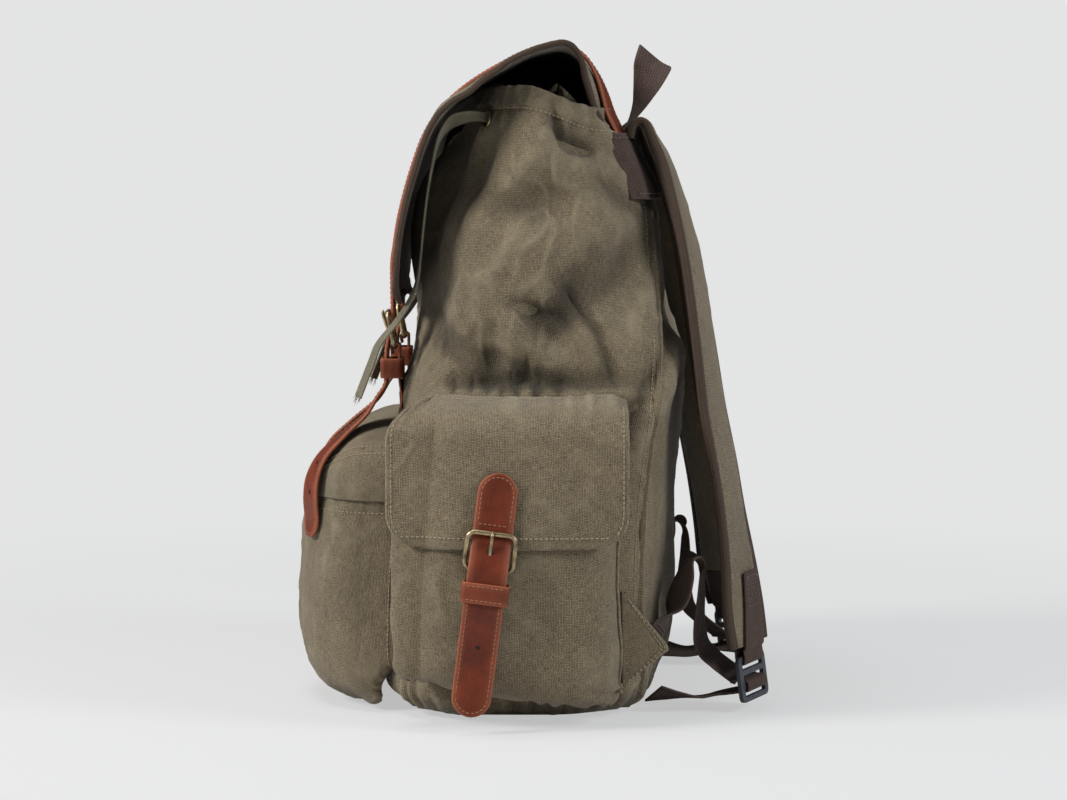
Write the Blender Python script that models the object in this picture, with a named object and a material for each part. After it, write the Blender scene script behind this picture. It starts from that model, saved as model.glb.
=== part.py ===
"""A canvas rucksack with a lid, leather straps, three buckled pockets and padded shoulder straps.

Metres, +Z up. The front pocket faces -Y, the shoulder straps +Y, and the bag stands on the floor.
"""

import math

import bpy
import numpy as np
from mathutils import Vector

# Driving sizes
BODY_WIDTH = 0.300
BODY_DEPTH = 0.190
BODY_HEIGHT = 0.406
MOUTH_DROP = 0.017
WALL = 0.0020
GAP = 0.0004

LID_WIDTH = 0.250
LID_REACH = 0.160
LID_RISE = BODY_HEIGHT * 0.07882
LID_THICK = 0.0022
LID_CORNER = 0.040

FRONT_POCKET_WIDTH = 0.226
FRONT_POCKET_HEIGHT = BODY_HEIGHT * 0.35961
FRONT_POCKET_DEPTH = 0.062
FRONT_FLAP_RISE = BODY_HEIGHT * 0.47291
FRONT_FLAP_HEM = BODY_HEIGHT * 0.34236

SIDE_POCKET_WIDTH = 0.146
SIDE_POCKET_MIDDLE = -0.020
SIDE_POCKET_FOOT = BODY_HEIGHT * 0.02956
SIDE_POCKET_TOP = BODY_HEIGHT * 0.44335
SIDE_POCKET_DEPTH = 0.038
SIDE_FLAP_WIDTH = 0.151
SIDE_FLAP_MIDDLE = -0.0165
SIDE_FLAP_TOP = BODY_HEIGHT * 0.51478
SIDE_FLAP_HEM = BODY_HEIGHT * 0.28571
SIDE_FLAP_CORNER = 0.022
POCKET_WALL = 0.0018
POCKET_SEAT = 0.0010

LEATHER_WIDTH = 0.025
LEATHER_THICK = 0.0024
BASE_THICK = 0.0014
BASE_WIDTH = 0.0200
STRAP_EASE = 0.0006
LID_STRAP_APART = 0.144
WIRE = 0.0032
BUCKLE_PLAY = 0.0010
BUCKLE_TALL = 0.0265
PRONG_WIDE = 0.0026
KEEPER_TALL = 0.0130
KEEPER_THICK = 0.0016
HOLE = 0.0056

WEBBING_WIDTH = 0.025
WEBBING_THICK = 0.0016
BAND_TALL = 0.042
BAND_THICK = 0.0018
BAND_WIDTH = 0.214
BAND_EASE = 0.0018
BAND_TOP = 0.926
HAUL_RISE = 0.056

SHOULDER_WIDTH = 0.066
SHOULDER_THICK = 0.0110
SHOULDER_TOP_APART = 0.104
SHOULDER_LOW_APART = 0.200

LOCK_WIDE = 0.036
LOCK_THICK = 0.0032
LOCK_BAR = 0.0036
LOCK_SLOT = 0.0052
LOCK_DOWN = 0.0065

EYELET_OUTER = 0.0135
EYELET_HOLE = 0.0072
EYELET_THICK = 0.0011
EYELET_AROUND = 0.160
EYELET_UP = 0.950
STRING_WIDTH = 0.0090
STRING_THICK = 0.0014

SIDE_SEAT = 0.72
SIDE_SEAT_LOW = BODY_HEIGHT * 0.04926
SIDE_STRAP_LEAN = math.radians(7.4)
SIDE_STRAP_TOP = (-0.0205, BODY_HEIGHT * 0.40394)
SIDE_STRAP_LONG = 0.154
SIDE_BUCKLE_DOWN = 0.0375
FRONT_SEAT_LOW = BODY_HEIGHT * 0.04310
LID_HEM_Z = BODY_HEIGHT - LID_RISE * 4.31
FRONT_BUCKLE_Z = (LID_HEM_Z + FRONT_FLAP_RISE) / 2 + 0.01796
FRONT_BAR_Y = -0.0955
FRONT_HEEL_Y = -0.0905
TAIL_EASE = 0.0024
TAIL_STRAY = 0.004
BEND_BIAS = 0.10
SIDES = (("right", 1), ("left", -1))

# Body sections: height share, front and back as shares of the depth, half width as a share of the
# width, and the squareness of the outline
BODY_SECTIONS = (
    # up,    front,   back,   half,  square
    (0.000, -0.330, 0.235, 0.395, 4.2),
    (0.008, -0.415, 0.320, 0.450, 4.2),
    (0.026, -0.478, 0.385, 0.482, 4.2),
    (0.070, -0.508, 0.440, 0.494, 4.2),
    (0.150, -0.512, 0.470, 0.498, 4.2),
    (0.250, -0.502, 0.486, 0.500, 4.2),
    (0.350, -0.486, 0.500, 0.499, 4.1),
    (0.440, -0.466, 0.510, 0.496, 3.9),
    (0.510, -0.450, 0.516, 0.490, 3.6),
    (0.570, -0.412, 0.520, 0.478, 3.3),
    (0.630, -0.400, 0.482, 0.466, 3.0),
    (0.710, -0.374, 0.446, 0.452, 2.8),
    (0.780, -0.326, 0.424, 0.436, 2.7),
    (0.850, -0.286, 0.386, 0.418, 2.6),
    (0.915, -0.236, 0.334, 0.398, 2.6),
    (0.965, -0.208, 0.296, 0.380, 2.6),
    (1.000, -0.172, 0.262, 0.366, 2.6),
)

# Dents and folds of the body: share of the way round from the front middle towards +X, height share,
# width round, height, lean, and depth as a share of the depth of the bag (minus is inwards)
BODY_FOLDS = (
    # round, up,    wide,  tall,  lean,  depth
    (0.248, 0.825, 0.050, 0.040, 0.00, -0.048),
    (0.285, 0.935, 0.020, 0.040, 0.30, -0.030),
    (0.240, 0.940, 0.026, 0.050, 0.00, 0.016),
    (0.150, 0.850, 0.022, 0.060, 0.25, -0.040),
    (0.180, 0.790, 0.022, 0.070, 0.20, 0.020),
    (0.205, 0.565, 0.010, 0.055, 0.00, -0.026),
    (0.232, 0.545, 0.009, 0.035, 0.00, -0.022),
    (0.252, 0.610, 0.012, 0.070, -0.45, -0.026),
    (0.222, 0.640, 0.012, 0.048, 0.00, 0.018),
    (0.275, 0.660, 0.018, 0.056, -0.30, 0.018),
    (0.330, 0.690, 0.022, 0.090, 0.10, -0.020),
    (0.350, 0.625, 0.020, 0.045, 0.30, 0.020),
    (0.400, 0.630, 0.050, 0.026, 0.10, -0.026),
    (0.770, 0.830, 0.046, 0.046, 0.00, -0.040),
    (0.720, 0.930, 0.022, 0.040, -0.30, -0.026),
    (0.850, 0.845, 0.022, 0.060, -0.25, -0.036),
    (0.790, 0.560, 0.011, 0.050, 0.00, -0.024),
    (0.762, 0.600, 0.013, 0.070, 0.40, -0.026),
    (0.735, 0.550, 0.010, 0.040, 0.00, -0.020),
    (0.670, 0.680, 0.022, 0.090, -0.10, -0.022),
    (0.600, 0.640, 0.050, 0.026, -0.10, -0.024),
)

# Lid profile, from the seam on the back over the top to the front hem: y as a share of LID_REACH from
# the apex, z as a share of LID_RISE above the front edge of the mouth
LID_PROFILE = (
    # along,  above
    (0.244, -0.55),
    (0.203, -0.08),
    (0.153, 0.33),
    (0.113, 0.56),
    (0.069, 0.73),
    (0.019, 0.82),
    (-0.037, 0.81),
    (-0.106, 0.73),
    (-0.181, 0.56),
    (-0.287, 0.27),
    (-0.394, -0.11),
    (-0.475, -0.53),
    (-0.525, -0.94),
    (-0.556, -1.31),
    (-0.600, -1.97),
    (-0.637, -2.69),
    (-0.659, -3.41),
    (-0.666, -3.91),
    (-0.650, -4.31),
)
LID_APEX_Y = 0.0150

# Front pocket: height share of the pocket, reach share of its depth
FRONT_POCKET_ROWS = (
    # up,   out
    (0.165, 0.010),
    (0.080, 0.280),
    (0.024, 0.560),
    (0.045, 0.740),
    (0.120, 0.860),
    (0.280, 0.930),
    (0.460, 0.965),
    (0.620, 0.975),
    (0.760, 0.960),
    (0.900, 0.920),
    (1.000, 0.890),
)

# Top line of the front pocket flap: share of its reach, height share between hem and rise
FRONT_FLAP_LINE = (
    # out,  up
    (0.00, 1.000),
    (0.25, 0.960),
    (0.55, 0.800),
    (0.75, 0.560),
    (0.90, 0.380),
    (1.00, 0.250),
)

# Side pocket: height share between foot and top, reach share of its depth
SIDE_POCKET_ROWS = (
    # up,   out
    (0.020, 0.010),
    (0.000, 0.400),
    (0.020, 0.740),
    (0.090, 0.930),
    (0.250, 1.000),
    (0.450, 1.020),
    (0.650, 1.010),
    (0.850, 0.980),
    (1.000, 0.950),
)
SIDE_POCKET_TILT = 0.016

# Tail of a lid strap below its keeper: height above the rise of the pocket flap, and how far forward it
# hangs at least as a share of the depth of the bag
STRAP_TAIL = (
    # above, forward
    (0.012, 0.538),
    (0.000, 0.579),
    (-0.014, 0.617),
    (-0.028, 0.664),
    (-0.042, 0.706),
    (-0.056, 0.0),
    (-0.070, 0.0),
    (-0.081, 0.0),
)

# Shoulder strap: share of the way from the upper to the lower spacing, y and z of the middle line as
# shares of the depth and the height of the bag, yaw in degrees, width share and thickness share
SHOULDER_LINE = (
    # apart, back,  up,    yaw, wide, thick
    (0.00, 0.388, 0.944, 3.0, 0.74, 0.42),
    (0.02, 0.415, 0.920, 3.0, 0.80, 0.55),
    (0.08, 0.457, 0.877, 4.0, 0.88, 0.90),
    (0.20, 0.492, 0.825, 6.0, 0.95, 1.00),
    (0.36, 0.523, 0.768, 8.0, 1.00, 1.00),
    (0.52, 0.551, 0.702, 10.0, 1.00, 1.00),
    (0.70, 0.586, 0.591, 12.0, 1.00, 1.00),
    (0.83, 0.616, 0.485, 14.0, 1.00, 1.00),
    (0.92, 0.650, 0.399, 15.0, 0.99, 1.00),
    (0.97, 0.677, 0.320, 16.0, 0.97, 1.00),
    (1.00, 0.700, 0.246, 20.0, 0.94, 1.00),
    (1.00, 0.718, 0.172, 26.0, 0.88, 0.95),
    (1.00, 0.736, 0.108, 32.0, 0.70, 0.60),
)

# Route of the drawstring once it is out of its eyelet: forward, down the front under the lid and out
# below the hem, where its cut end hangs; chosen by hand, x and y, z as a share of the height of the
# bag, then the direction across the strip
STRING_ROUTE = (
    (0.0910, -0.0430, 0.95197, 0.20, 0.15, 0.95),
    (0.0895, -0.0530, 0.94335, 0.45, 0.25, 0.80),
    (0.0880, -0.0610, 0.91749, 0.75, 0.10, 0.60),
    (0.0865, -0.0655, 0.87685, 0.95, 0.00, 0.30),
    (0.0875, -0.0690, 0.82759, 1.00, 0.00, 0.05),
    (0.0900, -0.0715, 0.77586, 1.00, 0.00, 0.00),
    (0.0940, -0.0735, 0.72660, 1.00, 0.10, 0.00),
    (0.0980, -0.0760, 0.68473, 1.00, 0.20, 0.00),
    (0.1000, -0.0815, 0.65271, 1.00, 0.35, 0.00),
    (0.1005, -0.0895, 0.62315, 1.00, 0.45, 0.00),
    (0.0995, -0.1000, 0.59113, 1.00, 0.55, 0.00),
    (0.0985, -0.1050, 0.56158, 1.00, 0.60, 0.00),
    (0.0975, -0.1095, 0.53325, 1.00, 0.60, 0.00),
    (0.0965, -0.1140, 0.50493, 1.00, 0.60, 0.00),
)

# Lower webbing between the corner tab and the lock, chosen by hand in the same columns
WEBBING_LEAD = (
    (0.1290, 0.0790, 0.13793, 0.10, 0.60, 1.00),
    (0.1260, 0.0900, 0.17241, 0.30, 0.60, 0.80),
    (0.1220, 0.0960, 0.21182, 0.60, 0.50, 0.40),
    (0.1170, 0.0990, 0.24138, 0.90, 0.20, 0.10),
    (0.1130, 0.1040, 0.24877, 0.95, 0.00, 0.00),
    (0.1090, 0.1085, 0.23153, 0.95, -0.10, 0.00),
    (0.1060, 0.1090, 0.19212, 0.95, -0.20, 0.00),
    (0.1030, 0.1080, 0.14778, 0.95, -0.30, 0.00),
    (0.0995, 0.1100, 0.10837, 0.90, -0.40, 0.00),
    (0.0960, 0.1190, 0.08128, 0.87, -0.48, 0.00),
)
# Its free end, from the lock back along the floor
WEBBING_TAIL = (
    (0.0960, 0.1220, 0.02586, 0.87, -0.45, 0.00),
    (0.0985, 0.1080, 0.02094, 0.90, -0.30, 0.10),
    (0.1040, 0.0920, 0.02463, 0.90, -0.10, 0.30),
    (0.1100, 0.0780, 0.03079, 0.80, 0.00, 0.50),
)

# Finishes: name, colour, roughness and metal share
CANVAS = ("canvas", (0.150, 0.134, 0.092, 1.0), 0.92, 0.0)
LEATHER = ("leather", (0.220, 0.050, 0.022, 1.0), 0.55, 0.0)
TAPE = ("dark webbing", (0.046, 0.032, 0.028, 1.0), 0.85, 0.0)
BRASS = ("aged brass", (0.300, 0.220, 0.110, 1.0), 0.42, 1.0)
PLASTIC = ("slate plastic", (0.040, 0.046, 0.054, 1.0), 0.45, 0.0)


def clear_scene():
    for old in list(bpy.data.objects):
        bpy.data.objects.remove(old, do_unlink=True)


def material(finish):
    name, colour, rough, metal = finish
    found = bpy.data.materials.get(name)
    if found:
        return found
    made = bpy.data.materials.new(name)
    made.use_nodes = True
    shader = made.node_tree.nodes["Principled BSDF"]
    shader.inputs["Base Color"].default_value = colour
    shader.inputs["Roughness"].default_value = rough
    shader.inputs["Metallic"].default_value = metal
    return made


def solid(name, points, faces, finish, side=1):
    """A closed mesh object with its faces pointing out; side -1 mirrors it across the middle plane."""
    points = np.asarray(points) * (side, 1, 1)
    volume = 0.0
    for face in faces:
        for a, b in zip(face[1:], face[2:]):
            volume += np.dot(points[face[0]], np.cross(points[a], points[b]))
    if volume < 0:
        faces = [face[::-1] for face in faces]
    mesh = bpy.data.meshes.new(name)
    mesh.from_pydata([tuple(p) for p in points], [], faces)
    if finish:
        mesh.materials.append(material(finish))
    mesh.shade_smooth()
    mesh.set_sharp_from_angle(angle=math.radians(45))
    made = bpy.data.objects.new(name, mesh)
    bpy.context.scene.collection.objects.link(made)
    return made


def unit(v):
    return v / np.maximum(np.linalg.norm(v, axis=-1, keepdims=True), 1e-12)


def step(low, high, value):
    t = np.clip((value - low) / (high - low), 0.0, 1.0)
    return t * t * (3 - 2 * t)


def smooth(points, count, bias=0.0):
    """Places on a smooth curve through points; columns after the third follow along.

    count is a number of places or a list of shares; bias draws the places towards the bends.
    """
    p = np.array(points, float)
    ends = np.vstack((2 * p[0] - p[1], p, 2 * p[-1] - p[-2]))
    fine = []
    for a, b, c, d in zip(ends, ends[1:], ends[2:], ends[3:]):
        t = np.linspace(0, 1, 24, endpoint=False)[:, None]
        cubic = (d - 3 * c + 3 * b - a) * t**3 + (2 * a - 5 * b + 4 * c - d) * t**2 + (c - a) * t
        fine.append(b + cubic / 2)
    fine.append(p[-1:])
    fine = np.vstack(fine)
    lengths = np.linalg.norm(np.diff(fine[:, :3], axis=0), axis=1)
    run = np.concatenate(([0], np.cumsum(lengths)))
    at = np.linspace(0, 1, count) if np.isscalar(count) else np.asarray(count)
    if bias:
        way = np.diff(fine[:, :3], axis=0) / np.maximum(lengths, 1e-9)[:, None]
        bend = np.arccos(np.clip(np.sum(way[1:] * way[:-1], axis=1), -1, 1))
        cost = lengths / run[-1]
        cost[1:] += bend * bias
        cost = np.concatenate(([0], np.cumsum(cost)))
        at = np.interp(at, cost / cost[-1], run / run[-1])
    at = at * run[-1]
    return np.column_stack([np.interp(at, run, fine[:, k]) for k in range(fine.shape[1])])


def read(table, key, value):
    """Column value of a table at a place in its first column, with smooth slopes between rows."""
    rows = np.array(table, float)
    x, y = rows[:, 0], rows[:, key]
    slopes = np.gradient(y, x)
    value = np.clip(value, x[0], x[-1])
    k = np.clip(np.searchsorted(x, value, side="right") - 1, 0, len(x) - 2)
    h = x[k + 1] - x[k]
    t = (value - x[k]) / h
    rise = (1 + 2 * t) * (1 - t) ** 2 * y[k] + t * t * (3 - 2 * t) * y[k + 1]
    return rise + h * (t * (1 - t) ** 2 * slopes[k] - t * t * (1 - t) * slopes[k + 1])


def grid_normals(grid, wrap):
    if wrap:
        along = np.roll(grid, -1, axis=1) - np.roll(grid, 1, axis=1)
    else:
        along = np.gradient(grid, axis=1)
    return unit(np.cross(along, np.gradient(grid, axis=0)))


def wall(name, grid, thick, finish, wrap=False, side=1):
    """A sheet of cloth: the outer face is grid, rows upwards, and the inner face lies thick behind it."""
    rows, columns = grid.shape[:2]
    inner = grid - grid_normals(grid, wrap) * thick
    points = np.vstack((grid.reshape(-1, 3), inner.reshape(-1, 3)))
    half = rows * columns
    faces = []
    spans = columns if wrap else columns - 1
    for r in range(rows - 1):
        for c in range(spans):
            d = (c + 1) % columns
            a, b, e, f = r * columns + c, r * columns + d, (r + 1) * columns + d, (r + 1) * columns + c
            faces.append((a, b, e, f))
            faces.append((half + a, half + f, half + e, half + b))
    top = (rows - 1) * columns
    for c in range(spans):
        d = (c + 1) % columns
        faces.append((top + c, top + d, half + top + d, half + top + c))
        if not wrap:
            faces.append((c, half + c, half + d, d))
    if wrap:
        faces.append(tuple(range(columns))[::-1])
        faces.append(tuple(half + c for c in range(columns)))
    else:
        for r in range(rows - 1):
            a, b = r * columns, (r + 1) * columns
            faces.append((a, b, half + b, half + a))
            a, b = a + columns - 1, b + columns - 1
            faces.append((a, half + a, half + b, b))
    return solid(name, points, faces, finish, side)


def sweep(name, middles, across, out, section, finish, closed=False, side=1):
    """A section, rows of (share across, share out) in metres for each station, run along middles."""
    stations, corners = len(middles), section.shape[-2]
    section = np.broadcast_to(section, (stations, corners, 2))
    points = middles[:, None] + section[..., :1] * across[:, None] + section[..., 1:] * out[:, None]
    points = points.reshape(-1, 3)
    faces = []
    for s in range(stations if closed else stations - 1):
        n = (s + 1) % stations
        for c in range(corners):
            d = (c + 1) % corners
            faces.append((s * corners + c, s * corners + d, n * corners + d, n * corners + c))
    if not closed:
        faces.append(tuple(range(corners))[::-1])
        faces.append(tuple((stations - 1) * corners + c for c in range(corners)))
    return solid(name, points, faces, finish, side)


def box_section(widths, thicks):
    """Four corners for each station, in an order that makes the swept faces point out."""
    w, t = np.asarray(widths) / 2, np.asarray(thicks) / 2
    return np.stack([np.stack((x * w, y * t), axis=-1) for x, y in ((-1, -1), (-1, 1), (1, 1), (1, -1))], axis=-2)


def pad_section(widths, thicks):
    """Eight corners for each station: a flat pad whose long edges are thinner than its middle."""
    w, t = np.asarray(widths) / 2, np.asarray(thicks) / 2
    shape = ((-1, -0.4), (-1, 0.4), (-0.72, 1), (0.72, 1), (1, 0.4), (1, -0.4), (0.72, -1), (-0.72, -1))
    return np.stack([np.stack((x * w, y * t), axis=-1) for x, y in shape], axis=-2)


def frames(middles, across, closed=False):
    """Square up across and give out, both at right angles to the path."""
    if closed:
        tangent = np.roll(middles, -1, axis=0) - np.roll(middles, 1, axis=0)
    else:
        tangent = np.gradient(middles, axis=0)
    tangent = unit(tangent)
    across = np.broadcast_to(across, middles.shape)
    across = unit(across - tangent * np.sum(across * tangent, axis=1, keepdims=True))
    return across, np.cross(tangent, across)


def ribbon(name, points, across, width, thick, finish, count=24, tips=(), side=1):
    """A flat strap along a smooth path; across may be a column of the path or one direction.

    tips holds 0 for a rounded start and 1 for a rounded end.
    """
    rows = np.asarray(points, float)
    if across is not None:
        rows = np.hstack((rows, np.broadcast_to(across, (len(rows), 3))))
    dense = smooth(rows, 400, BEND_BIAS)[:, :3]
    run = np.concatenate(([0], np.cumsum(np.linalg.norm(np.diff(dense, axis=0), axis=1))))
    length = run[-1]
    share = np.interp(np.linspace(0, 1, count), np.linspace(0, 1, 400), run / length)
    radius = width / 2
    turn = 1 - np.cos(np.linspace(0.20, 1, 4) * math.pi / 2)
    widths = {}
    for tip in tips:
        near = turn * radius / length
        share = np.concatenate((share[(share > near[-1]) if tip == 0 else (share < 1 - near[-1])],
                                near if tip == 0 else 1 - near))
    share = np.unique(share)
    path = smooth(rows, share)
    scale = np.ones(len(share))
    for tip in tips:
        left = (share if tip == 0 else 1 - share) * length
        scale = np.minimum(scale, np.sqrt(np.clip(1 - (1 - np.minimum(left, radius) / radius) ** 2, 0.01, 1)))
    sides, out = frames(path[:, :3], path[:, 3:6])
    section = box_section(width * scale, np.full(len(share), thick))
    return sweep(name, path[:, :3], sides, out, section, finish, side=side)


def loop_path(half_wide, half_tall, corner, per_corner):
    """A closed rounded rectangle, as rows of (across, along)."""
    rows = []
    for k, (x, y) in enumerate(((1, 1), (-1, 1), (-1, -1), (1, -1))):
        for t in np.linspace(0, 1, per_corner):
            angle = math.pi / 2 * (k + t)
            rows.append((x * (half_wide - corner) + corner * math.cos(angle),
                         y * (half_tall - corner) + corner * math.sin(angle)))
    return np.array(rows)


def cut(target, cutter):
    cutter.hide_render = True
    cutter.display_type = "WIRE"
    made = target.modifiers.new("cut", "BOOLEAN")
    made.object = cutter
    made.operation = "DIFFERENCE"
    made.solver = "EXACT"


def cut_slot(target, tag, middle, across, along, out, wide, tall, deep, side=1):
    """A rectangular hole right through target."""
    corners = []
    for n in (-1, 1):
        for u, v in ((-1, -1), (1, -1), (1, 1), (-1, 1)):
            corners.append(middle + across * u * wide / 2 + along * v * tall / 2 + out * n * deep / 2)
    faces = [(0, 3, 2, 1), (4, 5, 6, 7), (0, 1, 5, 4), (1, 2, 6, 5), (2, 3, 7, 6), (3, 0, 4, 7)]
    cut(target, solid(target.name + tag, corners, faces, None, side))


def section_at(up):
    front = read(BODY_SECTIONS, 1, up) * BODY_DEPTH
    back = read(BODY_SECTIONS, 2, up) * BODY_DEPTH
    half = read(BODY_SECTIONS, 3, up) * BODY_WIDTH
    square = read(BODY_SECTIONS, 4, up)
    return (front + back) / 2, (back - front) / 2, half, square


def body_ring(up, around):
    """Points of the outer face of the bag at a height share, at shares of the way round."""
    middle, deep, half, square = section_at(up)
    turn = np.linspace(0, 2 * math.pi, 721)
    x = half * np.sign(np.sin(turn)) * np.abs(np.sin(turn)) ** (2 / square)
    y = middle - deep * np.sign(np.cos(turn)) * np.abs(np.cos(turn)) ** (2 / square)
    run = np.concatenate(([0], np.cumsum(np.hypot(np.diff(x), np.diff(y)))))
    at = (np.asarray(around) % 1) * run[-1]
    px, py = np.interp(at, run, x), np.interp(at, run, y)
    ahead = at + run[-1] * 1e-3
    behind = at - run[-1] * 1e-3
    tx = np.interp(ahead % run[-1], run, x) - np.interp(behind % run[-1], run, x)
    ty = np.interp(ahead % run[-1], run, y) - np.interp(behind % run[-1], run, y)
    size = np.hypot(tx, ty)
    push = fold_depth(np.asarray(around) % 1, up)
    back_share = (py - (middle - deep)) / (2 * deep)
    drop = MOUTH_DROP * step(0.80, 1.0, up) * step(0.30, 0.95, back_share)
    z = np.broadcast_to(up * BODY_HEIGHT, px.shape) - drop
    return np.stack((px + push * ty / size, py - push * tx / size, z), axis=-1)


def fold_depth(around, up):
    push = np.zeros(np.shape(around))
    for place, height, wide, tall, lean, depth in BODY_FOLDS:
        away = (around - place + 0.5) % 1 - 0.5 - lean * (up - height)
        push = push + depth * BODY_DEPTH * np.exp(-((away / wide) ** 2) - ((up - height) / tall) ** 2)
    return push


def body_spot(around, up, off=0.0):
    """A place on the bag, off in front of its outer face, and the directions round, up and out."""
    here = body_ring(up, np.array([around - 0.004, around, around + 0.004]))
    low, high = body_ring(up - 0.01, np.array([around])), body_ring(min(up + 0.01, 1.0), np.array([around]))
    round_way = unit(here[2] - here[0])
    up_way = unit(high[0] - low[0])
    out = unit(np.cross(round_way, up_way))
    return here[1] + out * off, round_way, up_way, out


def body_side(y, z):
    middle, deep, half, square = section_at(z / BODY_HEIGHT)
    return half * np.clip(1 - np.abs((y - middle) / deep) ** square, 0.0, 1.0) ** (1 / square)


def body_front(x, z):
    middle, deep, half, square = section_at(z / BODY_HEIGHT)
    return middle - deep * np.clip(1 - np.abs(x / half) ** square, 0.0, 1.0) ** (1 / square)


def body_back(x, z):
    middle, deep, half, square = section_at((z + MOUTH_DROP * step(0.80, 1.0, z / BODY_HEIGHT)) / BODY_HEIGHT)
    return middle + deep * np.clip(1 - np.abs(x / half) ** square, 0.0, 1.0) ** (1 / square)


def make_body():
    around = np.arange(28) / 28
    heights = (0.0, 0.008, 0.026, 0.07, 0.20, 0.36, 0.48, 0.535, 0.58, 0.62, 0.67,
               0.73, 0.78, 0.83, 0.87, 0.91, 0.95, 1.0)
    grid = np.stack([body_ring(up, around) for up in heights])
    body = wall("bag_body", grid, WALL, CANVAS, wrap=True)
    for name, side in SIDES:
        middle, round_way, up_way, out = body_spot(EYELET_AROUND, EYELET_UP)
        turn = np.arange(12) / 12 * 2 * math.pi
        rim = [round_way * math.cos(t) + up_way * math.sin(t) for t in turn]
        radius = EYELET_HOLE / 2 + 0.0012
        points = [middle + r * radius + out * n * 0.008 for n in (-1, 1) for r in rim]
        faces = [tuple(range(12))[::-1], tuple(range(12, 24))]
        faces += [(k, (k + 1) % 12, 12 + (k + 1) % 12, 12 + k) for k in range(12)]
        cut(body, solid("eyelet_hole_" + name, points, faces, None, side))


def behind(x, z, off):
    """A place off behind the back of the bag, measured square to it."""
    slope = (body_back(x + 0.004, z) - body_back(x - 0.004, z)) / 0.008
    return body_back(x, z) + off * np.sqrt(1 + slope**2)


WALL_STACK = GAP + LID_THICK


def lid_curve():
    rows = [(0.0, LID_APEX_Y + a * LID_REACH, BODY_HEIGHT + b * LID_RISE) for a, b in LID_PROFILE]
    low_z = BODY_HEIGHT * BAND_TOP - BAND_TALL * 0.55
    foot = [(0.0, body_back(0.0, z) + WALL_STACK, z) for z in (low_z, low_z + BAND_TALL / 4, low_z + BAND_TALL / 2)]
    return smooth(foot + rows, 200)[:, 1:]


LID_CURVE = lid_curve()


def lid_point(x, s):
    """A place on the outer face of the lid: x across, s the share of the way from seam to hem."""
    at = np.clip(s, 0, 1) * (len(LID_CURVE) - 1)
    y = np.interp(at, np.arange(len(LID_CURVE)), LID_CURVE[:, 0])
    z = np.interp(at, np.arange(len(LID_CURVE)), LID_CURVE[:, 1])
    hug = 1 - step(0.10, 0.30, s)
    low = np.minimum(z, BODY_HEIGHT * BAND_TOP)
    y = y - hug * (behind(0.0, low, WALL_STACK) - behind(x, low, WALL_STACK))
    share = np.abs(x) / (LID_WIDTH / 2)
    z = z - LID_RISE * 0.14 * share**2 * step(0.20, 0.45, s)
    y = y + LID_REACH * 0.030 * share**3 * step(0.60, 0.95, s)
    return np.stack(np.broadcast_arrays(x * 1.0, y, z), axis=-1)


def lid_half(s):
    """Half width of the lid: drawn in at the seam, with round corners at the front hem."""
    half = LID_WIDTH / 2 * (0.70 + 0.30 * step(0.05, 0.40, s))
    length = np.sum(np.linalg.norm(np.diff(LID_CURVE, axis=0), axis=1))
    left = np.minimum((1 - s) * length, LID_CORNER)
    return half - LID_CORNER + np.sqrt(np.clip(LID_CORNER**2 - (LID_CORNER - left) ** 2, 0, None))


def make_lid():
    shares = np.concatenate((np.linspace(0, 0.88, 15), (0.93, 0.97, 0.99, 1.0)))
    across = np.linspace(1, -1, 9)
    grid = np.stack([lid_point(across * lid_half(s), s) for s in shares])
    wall("main_lid", grid, LID_THICK, CANVAS)


def plan_turn(count):
    """Angles for a pocket's plan outline, with more of them round its corners."""
    t = np.linspace(0, math.pi, count)
    return t - 0.12 * np.sin(4 * t)


def rising(ups, least):
    """Heights for the sewn edge of a pocket: the rows' own, but each at least a little above the last."""
    rise = [min(ups)]
    for up in ups[1:]:
        rise.append(max(up, rise[-1] + least))
    return rise


def front_pocket_grid(rows, columns, grow=0.0):
    square = 2 / 2.5
    turn = plan_turn(columns)
    profile = smooth([(0.0, out, up) for up, out in FRONT_POCKET_ROWS], rows, 0.05)[:, 1:]
    grid = []
    for (out, up), edge in zip(profile, rising(profile[:, 1], 0.012)):
        half = (FRONT_POCKET_WIDTH / 2 + grow) * (1 - 0.10 * (1 - out) ** 1.5)
        x = half * np.sign(np.cos(turn)) * np.abs(np.cos(turn)) ** square
        z = (edge + (up - edge) * step(0.0, 0.5, np.abs(np.sin(turn)))) * FRONT_POCKET_HEIGHT
        seat = body_front(x, np.maximum(z, FRONT_SEAT_LOW)) - POCKET_SEAT
        y = seat - (out * FRONT_POCKET_DEPTH + grow) * np.abs(np.sin(turn)) ** square
        grid.append(np.stack((x, y, z), axis=-1))
    return np.stack(grid)


def make_front_pocket():
    wall("front_pocket", front_pocket_grid(11, 15)[:, ::-1], POCKET_WALL, CANVAS)


FLAP_GROW = POCKET_WALL + GAP * 2


def front_flap_place(x, reach):
    """A place on the front flap: x across, and reach the share of its way forward."""
    share = np.abs(x) / (FRONT_POCKET_WIDTH / 2 + FLAP_GROW)
    out = np.clip(share**2.5 + reach**2.5, 0, 1) ** 0.4
    edge = (1 - out**7) ** (1 / 7)
    tall = FRONT_FLAP_RISE - FRONT_FLAP_HEM
    z = FRONT_FLAP_HEM + tall * edge * (read(FRONT_FLAP_LINE, 1, reach) - 0.30 * share**2 * (1 - reach))
    deep = POCKET_SEAT + FRONT_POCKET_DEPTH * 0.925 + GAP
    y = body_front(x, z) - GAP - POCKET_WALL - deep * reach
    return np.stack(np.broadcast_arrays(x * 1.0, y, z), axis=-1)


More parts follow.
